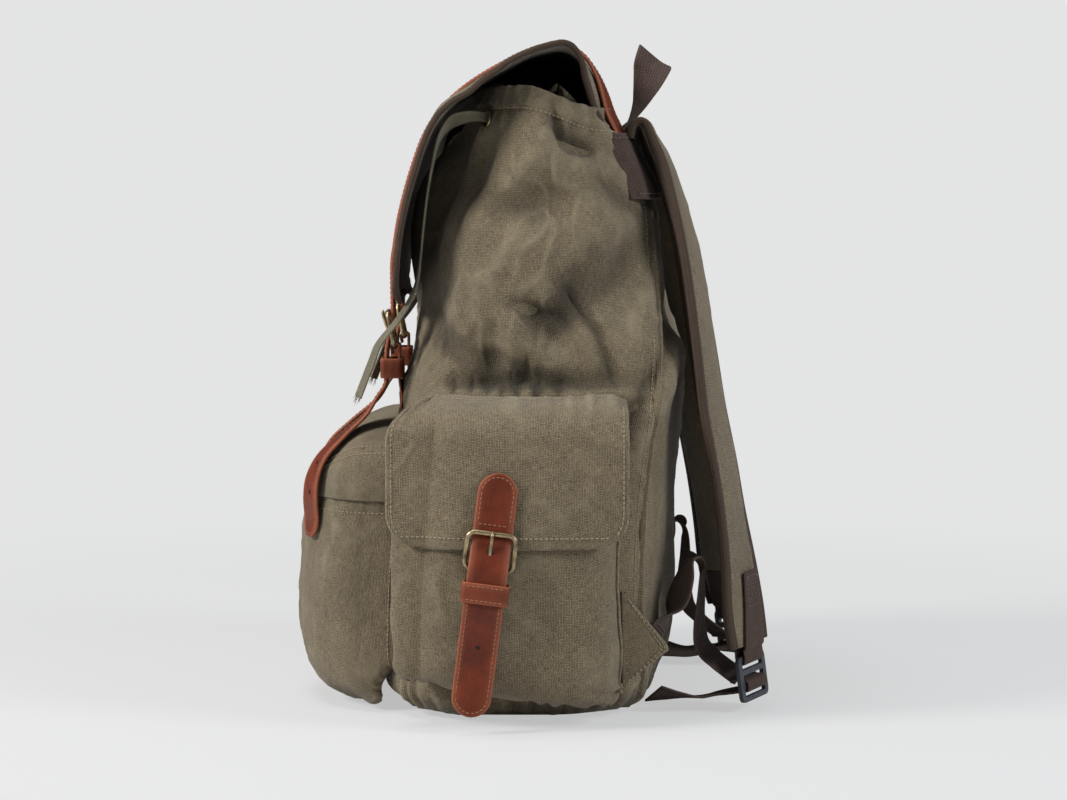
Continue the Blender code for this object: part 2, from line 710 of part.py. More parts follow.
def front_flap_point(turn, out):
    """The same place by its turn round the plan and its share of the way out to the hem."""
    x = out * (FRONT_POCKET_WIDTH / 2 + FLAP_GROW) * np.sign(np.cos(turn)) * np.abs(np.cos(turn)) ** 0.8
    return front_flap_place(x, out * np.abs(np.sin(turn)) ** 0.8)


def make_front_flap():
    turn = plan_turn(15)
    shares = (0.04, 0.30, 0.55, 0.75, 0.88, 0.95, 0.985, 1.0)
    grid = np.stack([front_flap_point(turn, s) for s in shares])
    wall("front_pocket_flap", grid, POCKET_WALL, CANVAS)


def side_seat(y, z):
    """Where a side pocket is sewn on: the side of the bag, short of its round corners."""
    middle, deep, half, square = section_at(z / BODY_HEIGHT)
    share = np.clip((y - middle) / deep, -SIDE_SEAT, SIDE_SEAT)
    return middle + deep * share, half * (1 - np.abs(share) ** square) ** (1 / square)


def side_pocket_point(turn, up, out, edge):
    half = SIDE_POCKET_WIDTH / 2
    reach = np.abs(np.sin(turn)) ** (2 / 4.6)
    y = SIDE_POCKET_MIDDLE - half * np.sign(np.cos(turn)) * np.abs(np.cos(turn)) ** (2 / 4.6)
    tall = SIDE_POCKET_TOP - SIDE_POCKET_FOOT
    up = edge + (up - edge) * step(0.0, 0.5, np.abs(np.sin(turn)))
    lift = SIDE_POCKET_TILT * (1 - step(0.0, 0.5, up)) * (1 - step(-1, 1, (y - SIDE_POCKET_MIDDLE) / half))
    z = SIDE_POCKET_FOOT + up * tall + lift
    seat_y, seat_x = side_seat(y, np.maximum(z, SIDE_SEAT_LOW))
    spread = step(0.0, 0.75, out * reach)
    y = seat_y * (1 - spread) + y * spread
    x = seat_x + POCKET_SEAT + out * SIDE_POCKET_DEPTH * reach
    return np.stack(np.broadcast_arrays(x, y, z), axis=-1)


def side_face(y, z):
    """The outer face of the side pocket at a place on it."""
    up = (z - SIDE_POCKET_FOOT) / (SIDE_POCKET_TOP - SIDE_POCKET_FOOT)
    out = read(SIDE_POCKET_ROWS[1:], 1, up)
    share = np.clip(np.abs(y - SIDE_POCKET_MIDDLE) / (SIDE_POCKET_WIDTH / 2), 0, 1)
    return side_seat(y, z)[1] + POCKET_SEAT + out * SIDE_POCKET_DEPTH * (1 - share**4.6) ** (1 / 4.6)


def make_side_pocket(name, side):
    turn = plan_turn(13)
    profile = smooth([(0.0, out, up) for up, out in SIDE_POCKET_ROWS], 10, 0.05)[:, 1:]
    edges = rising(profile[:, 1], 0.012)
    grid = np.stack([side_pocket_point(turn, up, out, edge) for (out, up), edge in zip(profile, edges)])
    wall("side_pocket_" + name, grid, POCKET_WALL, CANVAS, side=side)


def flap_face(y, z):
    """The outer face of the side flap where it hangs over the pocket."""
    near = SIDE_POCKET_WIDTH * 0.34
    y = np.clip(y, SIDE_POCKET_MIDDLE - near, SIDE_POCKET_MIDDLE + near)
    return side_face(y, z) + GAP * 3 + POCKET_WALL


def make_side_flap(name, side):
    half = SIDE_FLAP_WIDTH / 2
    bend = SIDE_POCKET_TOP + 0.003
    rises = (0.0, 0.0015, 0.007, SIDE_FLAP_CORNER, 0.045, bend - SIDE_FLAP_HEM)
    columns = np.sin(np.linspace(-1, 1, 11) * 1.3) / math.sin(1.3)
    rows = []
    for rise in rises:
        left = min(rise, SIDE_FLAP_CORNER)
        reach = half - SIDE_FLAP_CORNER + math.sqrt(SIDE_FLAP_CORNER**2 - (SIDE_FLAP_CORNER - left) ** 2)
        y = SIDE_FLAP_MIDDLE + columns * reach
        z = np.full_like(y, SIDE_FLAP_HEM + rise)
        rows.append(np.stack((flap_face(y, z), y, z), axis=-1))
    y = SIDE_FLAP_MIDDLE + columns * half
    outer = flap_face(y, np.full_like(y, bend))
    inner_y, inner = side_seat(y, SIDE_FLAP_TOP)
    for turn in (25, 50, 70, 90):
        back = 1 - math.cos(math.radians(turn)) ** 0.8
        x = outer * (1 - back) + (inner + POCKET_SEAT) * back
        z = bend + (SIDE_FLAP_TOP - bend) * math.sin(math.radians(turn))
        rows.append(np.stack((x, y * (1 - back) + inner_y * back, np.full_like(y, z)), axis=-1))
    wall("side_flap_" + name, np.stack(rows), POCKET_WALL, CANVAS, side=side)


def strap_place(across, down, out):
    """A place on the side strap: metres across, down it, and out from what lies under it."""
    lean_y, lean_z = math.sin(SIDE_STRAP_LEAN), math.cos(SIDE_STRAP_LEAN)
    y = SIDE_STRAP_TOP[0] - down * lean_y + across * lean_z
    z = SIDE_STRAP_TOP[1] - down * lean_z - across * lean_y
    mid_y = SIDE_STRAP_TOP[0] - down * lean_y
    mid_z = SIDE_STRAP_TOP[1] - down * lean_z
    base = flap_face(mid_y, max(mid_z, SIDE_FLAP_HEM * 0.55)) - (POCKET_WALL + GAP) * (mid_z < SIDE_FLAP_HEM)
    return np.array((base + out, y, z))


ACROSS_SIDE = np.array((0.0, math.cos(SIDE_STRAP_LEAN), -math.sin(SIDE_STRAP_LEAN)))
DOWN_SIDE = np.array((0.0, -math.sin(SIDE_STRAP_LEAN), -math.cos(SIDE_STRAP_LEAN)))
OUT_X = np.array((1.0, 0.0, 0.0))


def buckle_ring(name, middle, across, down, out, side):
    """A bent wire frame round a strap, lying in the plane of across and down."""
    half_wide = LEATHER_WIDTH / 2 + BUCKLE_PLAY + WIRE / 2
    half_tall = BUCKLE_TALL / 2 - WIRE / 2
    path = loop_path(half_wide, half_tall, 0.0045, 3)
    middles = middle + path[:, :1] * across + path[:, 1:] * down
    normal = unit(np.cross(across, down))
    sides, flat = frames(middles, normal, closed=True)
    turn = np.arange(6) / 6 * 2 * math.pi
    section = np.stack((np.cos(turn), -np.sin(turn)), axis=-1) * WIRE / 2
    sweep(name, middles, sides, flat, section, BRASS, closed=True, side=side)


def prong(name, start, end, bulge, side):
    """A flat pin from the heel bar, through the strap, onto the free bar."""
    points = [start, start * 0.6 + end * 0.4 + bulge, start * 0.25 + end * 0.75 + bulge, end]
    across = unit(np.cross(end - start, bulge))
    ribbon(name, points, across, PRONG_WIDE, PRONG_WIDE * 0.7, BRASS, count=8, side=side)


def keeper(name, middle, across, down, out, deep, side):
    """A closed leather loop round the strap and its base."""
    half_wide = LEATHER_WIDTH / 2 + GAP * 2 + KEEPER_THICK / 2
    path = loop_path(half_wide, deep / 2 + KEEPER_THICK / 2, 0.0022, 3)
    middles = middle + path[:, :1] * across + path[:, 1:] * out
    sides, flat = frames(middles, down, closed=True)
    corner = np.array(((-1, -1), (-1, 1), (1, 1), (1, -1))) * (KEEPER_TALL / 2, KEEPER_THICK / 2)
    sweep(name, middles, sides, flat, corner, LEATHER, closed=True, side=side)


def make_side_fastening(name, side):
    free = SIDE_BUCKLE_DOWN
    heel = free + BUCKLE_TALL - WIRE
    half = LEATHER_THICK / 2
    on = GAP + half + STRAP_EASE
    wrap = WIRE / 2 + GAP + BASE_THICK / 2
    lift = GAP * 2 + KEEPER_THICK + GAP + BASE_THICK / 2
    heel_out = lift + wrap
    over = heel_out + wrap + BASE_THICK / 2 + GAP * 2 + half
    rows = ((0.0, on), (0.018, on), (0.031, on), (free, on + 0.0004), (free + 0.007, on + 0.0026),
            (heel - 0.006, over - 0.0014), (heel, over), (heel + 0.006, over - 0.0002),
            (heel + 0.014, over - 0.0003), (heel + 0.021, over - 0.0004), (heel + 0.026, over - 0.0010),
            (heel + 0.038, on + 0.0046),
            (heel + 0.056, on + 0.0018), (SIDE_STRAP_LONG - 0.012, on + 0.0010),
            (SIDE_STRAP_LONG, on + 0.0014))
    points = [strap_place(0, down, out) for down, out in rows]
    strap = ribbon("side_strap_" + name, points, ACROSS_SIDE, LEATHER_WIDTH, LEATHER_THICK, LEATHER,
                   count=23, tips=(0, 1), side=side)
    free_at = strap_place(0, free, on + half + GAP * 2 + WIRE / 2)
    heel_at = strap_place(0, heel, heel_out)
    down = unit(heel_at - free_at)
    buckle_ring("side_buckle_" + name, (free_at + heel_at) / 2, ACROSS_SIDE, down, OUT_X, side)
    root = heel_at - down * (wrap + BASE_THICK / 2 + GAP * 2) + OUT_X * 0.0006
    tip = free_at + OUT_X * (WIRE / 2 + GAP * 2 + PRONG_WIDE * 0.35) - down * 0.0012
    prong("side_prong_" + name, root, tip, OUT_X * 0.0010, side)
    cut_slot(strap, "_hole", meeting(points, root, tip), ACROSS_SIDE, down, OUT_X, HOLE, 0.0125, 0.012, side)
    low = [strap_place(0, heel + d, out) for d, out in
           ((0.040, GAP + STRAP_EASE + BASE_THICK / 2), (0.031, GAP + STRAP_EASE + BASE_THICK / 2),
            (0.022, lift), (0.006, lift))]
    base = low + wrapped(heel_at, down, OUT_X, wrap)
    ribbon("side_base_" + name, base, ACROSS_SIDE, BASE_WIDTH, BASE_THICK, LEATHER, count=20, side=side)
    near = over + half + GAP
    far = lift - BASE_THICK / 2 - GAP
    keeper("side_keeper_" + name, strap_place(0, heel + 0.014, (near + far) / 2), ACROSS_SIDE, DOWN_SIDE,
           OUT_X, near - far, side)


def lid_out(x, s, off):
    """A place off in front of the outer face of the lid, with the directions across and out there."""
    h = 0.004
    here = lid_point(x, s)
    across = unit(lid_point(x + h, s) - lid_point(x - h, s))
    ahead = unit(lid_point(x, min(s + h, 1.0)) - lid_point(x, max(s - h, 0.0)))
    out = unit(np.cross(ahead, across))
    return here + out * off, across, out


def front_face(x, z):
    """The outer face of the front pocket, or of its flap down to the hem, at a place on it."""
    if z > FRONT_FLAP_HEM - 0.005:
        z = max(z, FRONT_FLAP_HEM)
        share = np.abs(x) / (FRONT_POCKET_WIDTH / 2 + FLAP_GROW)
        reach = np.linspace(0.0, (1 - share**2.5) ** 0.4, 200)
        places = front_flap_place(np.full(200, x), reach)
        return float(np.min(places[places[:, 2] >= z - 0.0005, 1], initial=places[0, 1]))
    out = read([row for row in FRONT_POCKET_ROWS if row[1] > 0.7], 1, z / FRONT_POCKET_HEIGHT)
    share = np.abs(x) / (FRONT_POCKET_WIDTH / 2)
    return float(body_front(x, z) - POCKET_SEAT - out * FRONT_POCKET_DEPTH * (1 - share**2.5) ** 0.4)


def make_front_fastening(name, side):
    x = LID_STRAP_APART / 2
    half = LEATHER_THICK / 2
    shares = np.concatenate(((0.035,), np.linspace(0.08, 0.93, 20)))
    places = [lid_out(x, s, GAP + half + STRAP_EASE * 1.2) for s in shares]
    rows = [np.concatenate((place, across)) for place, across, out in places]
    face = np.array((1.0, 0.0, 0.0))
    out_y = np.array((0.0, -1.0, 0.0))
    free_at = np.array((x, FRONT_BAR_Y, FRONT_BUCKLE_Z + (BUCKLE_TALL - WIRE) / 2))
    heel_at = np.array((x, FRONT_HEEL_Y, FRONT_BUCKLE_Z - (BUCKLE_TALL - WIRE) / 2))
    reach = WIRE / 2 + GAP + BASE_THICK + GAP * 2 + half
    free_z, heel_z = free_at[2], heel_at[2]
    over = FRONT_HEEL_Y - reach
    for y, z in ((FRONT_BAR_Y + WIRE / 2 + GAP * 2 + half, free_z), (FRONT_BAR_Y + 0.0036, free_z - 0.006),
                 (over + 0.0012, heel_z + 0.006), (over, heel_z), (over - 0.0004, heel_z - 0.006),
                 (over - 0.0005, heel_z - 0.014), (over - 0.0005, heel_z - 0.0215),
                 (over - 0.0022, heel_z - 0.0265)):
        rows.append(np.concatenate(((x, y, z), face)))
    for above, forward in STRAP_TAIL:
        turn = step(0.012, -0.056, above)
        tail_x, tail_z = x + TAIL_STRAY * turn, FRONT_FLAP_RISE + above
        lie = min(front_face(tail_x, tail_z) - GAP - half - TAIL_EASE, -forward * BODY_DEPTH)
        slope = (front_face(x + 0.012, FRONT_FLAP_HEM) - front_face(x - 0.004, FRONT_FLAP_HEM)) / 0.016 * turn
        rows.append(np.concatenate(((tail_x, lie, tail_z), unit(np.array((1.0, slope, 0.0))))))
    strap = ribbon("lid_strap_" + name, np.array(rows), None, LEATHER_WIDTH, LEATHER_THICK, LEATHER,
                   count=42, tips=(1,), side=side)
    down = unit(heel_at - free_at)
    buckle_ring("front_buckle_" + name, (free_at + heel_at) / 2, face, down, out_y, side)
    wrap = WIRE / 2 + GAP + BASE_THICK / 2
    root = heel_at - down * (wrap + BASE_THICK / 2 + GAP * 2) + out_y * 0.0006
    tip = free_at + out_y * (WIRE / 2 + GAP * 2 + PRONG_WIDE * 0.35) - down * 0.0012
    prong("front_prong_" + name, root, tip, out_y * 0.0010, side)
    cut_slot(strap, "_hole", meeting(rows, root, tip), face, down, out_y, HOLE, 0.0125, 0.012, side)
    low = []
    for z, lift in ((FRONT_FLAP_RISE + 0.004, 0.0), (FRONT_FLAP_RISE + 0.011, 0.0), (heel_z - 0.021, 1.0),
                    (heel_z - 0.005, 1.0)):
        seat = body_front(x - BASE_WIDTH / 2, z) - GAP - BASE_THICK / 2
        low.append(np.array((x, seat * (1 - lift) + (FRONT_HEEL_Y + wrap) * lift, z)))
    base = low + wrapped(heel_at, down, out_y, wrap)
    ribbon("front_base_" + name, base, face, BASE_WIDTH, BASE_THICK, LEATHER, count=20, side=side)
    near = over - 0.0007 - half - GAP * 2
    far = FRONT_HEEL_Y + wrap + BASE_THICK / 2 + GAP
    keeper("front_keeper_" + name, np.array((x, (near + far) / 2, heel_z - 0.0135)), face,
           np.array((0.0, 0.0, -1.0)), out_y, far - near, side)


def meeting(rows, start, end):
    """Where a strap through rows comes nearest to the line from start to end."""
    path = smooth(np.array(rows)[:, :3], 600)
    line = start + (end - start) * np.linspace(0, 1, 60)[:, None]
    away = np.linalg.norm(path[:, None] - line[None], axis=2)
    return path[np.unravel_index(np.argmin(away), away.shape)[0]]


def wrapped(bar, down, out, radius):
    """The end of a base strap that turns round its bar from behind, over it and down in front."""
    out = unit(out - down * np.dot(out, down))
    turn = np.radians((-90, -60, -30, 0, 30, 60, 90))
    return [bar - down * radius * math.cos(t) + out * radius * math.sin(t) for t in turn] + \
        [bar + down * 0.004 + out * radius]


def make_eyelet(name, side):
    middle, round_way, up_way, out = body_spot(EYELET_AROUND, EYELET_UP)
    profile = ((EYELET_HOLE / 2, -0.0026), (EYELET_HOLE / 2 + 0.0008, -0.0026), (EYELET_HOLE / 2 + 0.0008, 0.0006),
               (EYELET_OUTER / 2, 0.0006), (EYELET_OUTER / 2 - 0.0006, 0.0006 + EYELET_THICK),
               (EYELET_HOLE / 2 + 0.0005, 0.0006 + EYELET_THICK))
    count = 12
    points, faces = [], []
    for k in range(count):
        turn = 2 * math.pi * k / count
        spoke = round_way * math.cos(turn) + up_way * math.sin(turn)
        points += [middle + spoke * r + out * n for r, n in profile]
    size = len(profile)
    for k in range(count):
        for c in range(size):
            d, n = (c + 1) % size, (k + 1) % count
            faces.append((k * size + c, k * size + d, n * size + d, n * size + c))
    solid("eyelet_" + name, points, faces, BRASS, side)


def routed(table):
    """The rows of a route chosen by hand, with z in metres."""
    return [np.array(row) * (1, 1, BODY_HEIGHT, 1, 1, 1) for row in table]


def make_drawstring(name, side):
    """A flat string, squeezed where it comes through its eyelet."""
    middle, round_way, up_way, out = body_spot(EYELET_AROUND, EYELET_UP)
    rows = [np.concatenate((middle + out * n, up_way)) for n in (-0.005, 0.0, 0.005)]
    path = smooth(rows + routed(STRING_ROUTE), 24)
    run = np.concatenate(([0], np.cumsum(np.linalg.norm(np.diff(path[:, :3], axis=0), axis=1))))
    widths = EYELET_HOLE - GAP * 2 + (STRING_WIDTH - EYELET_HOLE + GAP * 2) * step(0.010, 0.030, run)
    across, flat = frames(path[:, :3], path[:, 3:6])
    section = box_section(widths, np.full(len(path), STRING_THICK))
    sweep("drawstring_" + name, path[:, :3], across, flat, section, CANVAS, side=side)


def make_back_band():
    seat = WALL_STACK + GAP + LEATHER_THICK + GAP + BAND_THICK + BAND_EASE
    top = BODY_HEIGHT * BAND_TOP
    x = np.linspace(1, -1, 13) * BAND_WIDTH / 2
    ends = step(BAND_WIDTH / 2, BAND_WIDTH / 2 - 0.016, np.abs(x))
    grid = []
    for z in np.linspace(top - BAND_TALL, top, 3):
        grid.append(np.stack((x, behind(x, z, GAP + BAND_THICK + (seat - GAP - BAND_THICK) * ends),
                              np.full_like(x, z)), axis=-1))
    wall("back_band", np.stack(grid), BAND_THICK, TAPE)


def make_haul_loop():
    top = BODY_HEIGHT * BAND_TOP
    apart = WEBBING_WIDTH / 2 + 0.0020
    foot = [(z, behind(0.0, z, WALL_STACK + GAP * 2 + WEBBING_THICK / 2)) for z in (top - 0.008, top - 0.003,
                                                                                top + 0.002)]
    leg = [(apart, y, z, 0) for z, y in foot]
    back, rise = foot[-1][1], top
    leg += [(apart * 1.02, back + 0.0060, rise + HAUL_RISE * 0.22, 8),
            (apart * 1.05, back + 0.0130, rise + HAUL_RISE * 0.48, 30),
            (apart * 0.80, back + 0.0190, rise + HAUL_RISE * 0.80, 62)]
    rows = leg + [(0.0, back + 0.0220, rise + HAUL_RISE, 90)]
    rows += [(-x, y, z, 180 - turn) for x, y, z, turn in leg[::-1]]
    rows = [(x, y, z, math.cos(math.radians(t)), math.sin(math.radians(t)), 0.0) for x, y, z, t in rows]
    ribbon("haul_loop", rows, None, WEBBING_WIDTH, WEBBING_THICK, TAPE, count=22)


def shoulder_rows():
    rows = []
    for apart, back, up, yaw, wide, thick in SHOULDER_LINE:
        x = (SHOULDER_TOP_APART + (SHOULDER_LOW_APART - SHOULDER_TOP_APART) * apart) / 2
        turn = math.radians(yaw)
        rows.append((x, back * BODY_DEPTH, up * BODY_HEIGHT, -math.cos(turn), math.sin(turn), 0.0,
                     wide * SHOULDER_WIDTH, thick * SHOULDER_THICK))
    return np.array(rows)


def make_shoulder_strap(name, side):
    path = smooth(shoulder_rows(), 17)
    across, out = frames(path[:, :3], path[:, 3:6])
    sweep("shoulder_strap_" + name, path[:, :3], across, out, pad_section(path[:, 6], path[:, 7]), CANVAS,
          side=side)
    return path[-1, :3], across[-1], unit(path[-1, :3] - path[-2, :3]), out[-1]


def make_lock(name, side, end, across, down, out):
    """A ladder lock of four bars and three slots below the end of the shoulder strap."""
    bars = 4
    tall = bars * LOCK_BAR + (bars - 1) * LOCK_SLOT
    middle = end + down * (LOCK_DOWN + tall / 2)
    plate_path = loop_path(LOCK_WIDE / 2, tall / 2, 0.004, 4)
    points = [middle + across * u + down * v + out * n * LOCK_THICK / 2 for n in (-1, 1) for u, v in plate_path]
    size = len(plate_path)
    faces = [tuple(range(size))[::-1], tuple(range(size, 2 * size))]
    faces += [(k, (k + 1) % size, size + (k + 1) % size, size + k) for k in range(size)]
    lock = solid("ladder_lock_" + name, points, faces, PLASTIC, side)
    slots = []
    for k in range(bars - 1):
        v = -tall / 2 + LOCK_BAR + LOCK_SLOT / 2 + k * (LOCK_BAR + LOCK_SLOT)
        slots.append(middle + down * v)
        cut_slot(lock, "_slot" + str(k), slots[-1], across, down, out, WEBBING_WIDTH + 0.002, LOCK_SLOT,
                 LOCK_THICK * 4, side)
    return slots


def make_strap_patch(name, side, end, across, down, out, slots):
    """Webbing that holds the lock: down the outer face of the strap, round the top bar and up inside."""
    pad = shoulder_rows()
    path = smooth(pad, 60)
    half = WEBBING_THICK / 2
    rows = []
    sides, normals = frames(path[:, :3], path[:, 3:6])
    for k in (51, 53, 55, 57, 59):
        place = path[k, :3] + normals[k] * (path[k, 7] / 2 + GAP + half + STRAP_EASE)
        rows.append(np.concatenate((place, sides[k])))
    bar = slots[0] - down * (LOCK_SLOT + LOCK_BAR) / 2
    reach = LOCK_THICK / 2 + GAP + half + 0.0005
    low = LOCK_BAR / 2 + GAP + half + 0.0003
    for n, v in ((1.0, -1.6), (1.0, 0.0), (0.62, 0.90), (0.0, 1.0), (-0.62, 0.90), (-1.0, 0.0), (-1.0, -1.6)):
        rows.append(np.concatenate((bar + out * reach * n + down * low * v, across)))
    for k in (59, 57, 55):
        place = path[k, :3] - normals[k] * (path[k, 7] / 2 + GAP + half + STRAP_EASE)
        rows.append(np.concatenate((place, sides[k])))
    ribbon("strap_patch_" + name, rows, None, WEBBING_WIDTH, WEBBING_THICK, TAPE, count=24, side=side)


def make_lower_webbing(name, side, across, down, out, slots):
    bar = (slots[1] + slots[2]) / 2
    half = WEBBING_THICK / 2
    reach = LOCK_THICK / 2 + GAP + half + 0.0004
    low = LOCK_BAR / 2 + GAP + half + 0.0004
    rows = routed(WEBBING_LEAD)
    for n, v in ((-3.2, -1.35), (-1.6, -1.1), (0.0, -1.04), (0.75, -0.9), (1.0, -0.35), (1.0, 0.35), (0.75, 0.9),
                 (0.0, 1.04), (-1.6, 1.1), (-3.2, 1.30)):
        rows.append(np.concatenate((bar + out * reach * n + down * low * v, -across)))
    rows += routed(WEBBING_TAIL)
    ribbon("lower_webbing_" + name, rows, None, WEBBING_WIDTH, WEBBING_THICK, TAPE, count=48, side=side)


def make_gusset_tab(name, side):
    """A folded triangle of canvas sewn into the side seam, holding the end of the webbing."""
    corners = ((0.0565, 0.0840), (0.0575, 0.0230), (0.0860, 0.0450), (0.0850, 0.0490))
    points = []
    for layer in (0, 1):
        for y, z in corners:
            lean = (y - 0.053) * 0.30
            x = body_side(0.053, z) + GAP * 2 + layer * 0.0030 - lean
            points.append((max(x, body_side(y, z) + GAP * 2 + layer * 0.0030), y, z))
    faces = [(0, 1, 2, 3), (7, 6, 5, 4)] + [(k, 4 + k, 4 + (k + 1) % 4, (k + 1) % 4) for k in range(4)]
    solid("gusset_tab_" + name, points, faces, CANVAS, side)


def settle():
    """Moves everything so that the middle of the bag's foot is the origin."""
    low, high = np.full(3, np.inf), np.full(3, -np.inf)
    for piece in bpy.context.scene.objects:
        if not piece.hide_render and not piece.name.startswith("drawstring"):
            places = np.array([vertex.co for vertex in piece.data.vertices])
            low, high = np.minimum(low, places.min(axis=0)), np.maximum(high, places.max(axis=0))
    for piece in bpy.context.scene.objects:
        piece.location = -Vector(((low[0] + high[0]) / 2, (low[1] + high[1]) / 2, low[2]))


def main():
    clear_scene()
    make_body()
    make_lid()
    make_front_pocket()
    make_front_flap()
    for name, side in SIDES:
        make_side_pocket(name, side)
        make_side_flap(name, side)
        make_side_fastening(name, side)
        make_front_fastening(name, side)
        make_eyelet(name, side)
        make_drawstring(name, side)
        end = make_shoulder_strap(name, side)
        slots = make_lock(name, side, *end)
        make_strap_patch(name, side, *end, slots)
        make_lower_webbing(name, side, *end[1:], slots)
        make_gusset_tab(name, side)
    make_back_band()
    make_haul_loop()
    settle()


main()
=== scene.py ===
"""Looks of the canvas rucksack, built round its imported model.

Metres, +Z up, the front pocket towards -Y. The side that the photograph shows faces +X.
"""

import math

import bmesh
import bpy
import numpy as np
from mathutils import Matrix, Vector, noise
from mathutils.bvhtree import BVHTree


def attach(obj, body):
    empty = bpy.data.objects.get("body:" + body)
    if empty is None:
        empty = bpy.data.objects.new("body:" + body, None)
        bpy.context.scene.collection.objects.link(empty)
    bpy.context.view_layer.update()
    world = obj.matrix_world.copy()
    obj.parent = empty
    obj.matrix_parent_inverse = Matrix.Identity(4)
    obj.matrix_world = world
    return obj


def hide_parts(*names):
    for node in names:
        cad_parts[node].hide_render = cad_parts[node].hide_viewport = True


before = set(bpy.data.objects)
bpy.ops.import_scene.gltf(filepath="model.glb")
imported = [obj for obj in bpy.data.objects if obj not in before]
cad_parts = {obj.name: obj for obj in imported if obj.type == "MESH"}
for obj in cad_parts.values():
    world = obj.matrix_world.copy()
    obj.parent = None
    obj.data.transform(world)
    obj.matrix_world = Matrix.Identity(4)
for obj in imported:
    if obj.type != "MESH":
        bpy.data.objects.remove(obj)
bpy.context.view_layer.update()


# Camera: a long lens that looks at the bag's right side from a little above the middle of it.
# The sewing measures of all pieces count from the middle of the sack, SETTLED in front of the origin.
SETTLED = 0.0015485
CAMERA_AWAY = 2.1
CAMERA_RISE = math.radians(4)
AIM = Vector((0.0, SETTLED, 0.1962))
lens = bpy.data.cameras.new("camera")
lens.sensor_width = 36.0
lens.lens = 3080 * 36.0 / 1067
camera = bpy.data.objects.new("camera", lens)
bpy.context.scene.collection.objects.link(camera)
back_way = Vector((math.cos(CAMERA_RISE), 0.0, math.sin(CAMERA_RISE)))
camera.location = AIM + back_way * CAMERA_AWAY
camera.rotation_mode = "QUATERNION"
camera.rotation_quaternion = back_way.to_track_quat("Z", "Y")
bpy.context.scene.camera = camera
bpy.context.scene.view_settings.view_transform = "Standard"


# Studio: a pale paper floor that fades into an even pale ground, a large soft light over the left
# shoulder of the camera, a softer one overhead and a weak one from the back of the bag.
GROUND_TONE = (0.775, 0.778, 0.780, 1.0)
FLOOR_TONE = (0.68, 0.683, 0.69, 1.0)
FLOOR_HALF = 30.0


def put(tree, kind, settings=None, **inputs):
    """A node; each named input is set to a value or joined to a socket, i0 meaning the first input."""
    made = tree.nodes.new("ShaderNode" + kind)
    for key, value in (settings or {}).items():
        setattr(made, key, value)
    for key, value in inputs.items():
        socket = made.inputs[int(key[1:])] if key[1:].isdigit() else made.inputs[key.replace("_", " ")]
        if isinstance(value, bpy.types.NodeSocket):
            tree.links.new(value, socket)
        else:
            socket.default_value = value
    return made


world = bpy.data.worlds.new("studio")
bpy.context.scene.world = world
world.use_nodes = True
tree = world.node_tree
tree.nodes.clear()
seen = put(tree, "LightPath").outputs["Is Camera Ray"]
ground = put(tree, "Background", Color=GROUND_TONE, Strength=1.0)
fill = put(tree, "Background", Color=(0.90, 0.93, 1.0, 1.0), Strength=0.17)
both = put(tree, "MixShader", i0=seen, i1=fill.outputs[0], i2=ground.outputs[0])
put(tree, "OutputWorld", Surface=both.outputs[0])

floor_mesh = bpy.data.meshes.new("floor")
floor_mesh.from_pydata([(x * FLOOR_HALF, y * FLOOR_HALF, 0.0) for x, y in ((-1, -1), (1, -1), (1, 1), (-1, 1))],
                       [], [(0, 1, 2, 3)])
floor = bpy.data.objects.new("floor", floor_mesh)
bpy.context.scene.collection.objects.link(floor)
paper = bpy.data.materials.new("floor paper")
paper.use_nodes = True
tree = paper.node_tree
tree.nodes.clear()
place = put(tree, "NewGeometry").outputs["Position"]
away = put(tree, "VectorMath", {"operation": "LENGTH"}, i0=place).outputs["Value"]
fade = put(tree, "MapRange", {"interpolation_type": "SMOOTHSTEP"}, i0=away, i1=0.32, i2=1.15, i3=0.0, i4=1.0)
near_paper = put(tree, "BsdfDiffuse", Color=FLOOR_TONE)
lit_paper = put(tree, "MixShader", i0=0.68, i1=near_paper.outputs[0],
                i2=put(tree, "Emission", Color=GROUND_TONE, Strength=0.94).outputs[0])
far_paper = put(tree, "Emission", Color=GROUND_TONE, Strength=1.0)
mixed = put(tree, "MixShader", i0=fade.outputs[0], i1=lit_paper.outputs[0], i2=far_paper.outputs[0])
unlit = put(tree, "MixShader", i0=put(tree, "LightPath").outputs["Is Camera Ray"], i1=near_paper.outputs[0],
            i2=mixed.outputs[0])
put(tree, "OutputMaterial", Surface=unlit.outputs[0])
floor_mesh.materials.append(paper)


def soft_light(name, place, size, power, colour):
    data = bpy.data.lights.new(name, "AREA")
    data.shape = "DISK"
    data.size = size
    data.energy = power
    data.color = colour
    made = bpy.data.objects.new(name, data)
    bpy.context.scene.collection.objects.link(made)
    made.location = place
    made.rotation_mode = "QUATERNION"
    made.rotation_quaternion = (Vector(place) - Vector((0, 0, 0.22))).to_track_quat("Z", "Y")


soft_light("key light", (0.95, -2.05, 1.45), 0.8, 66, (1.0, 0.985, 0.96))
soft_light("top light", (0.2, -0.5, 2.4), 1.2, 26, (1.0, 1.0, 1.0))
soft_light("back light", (1.1, 2.0, 1.3), 1.0, 42, (0.95, 0.97, 1.0))


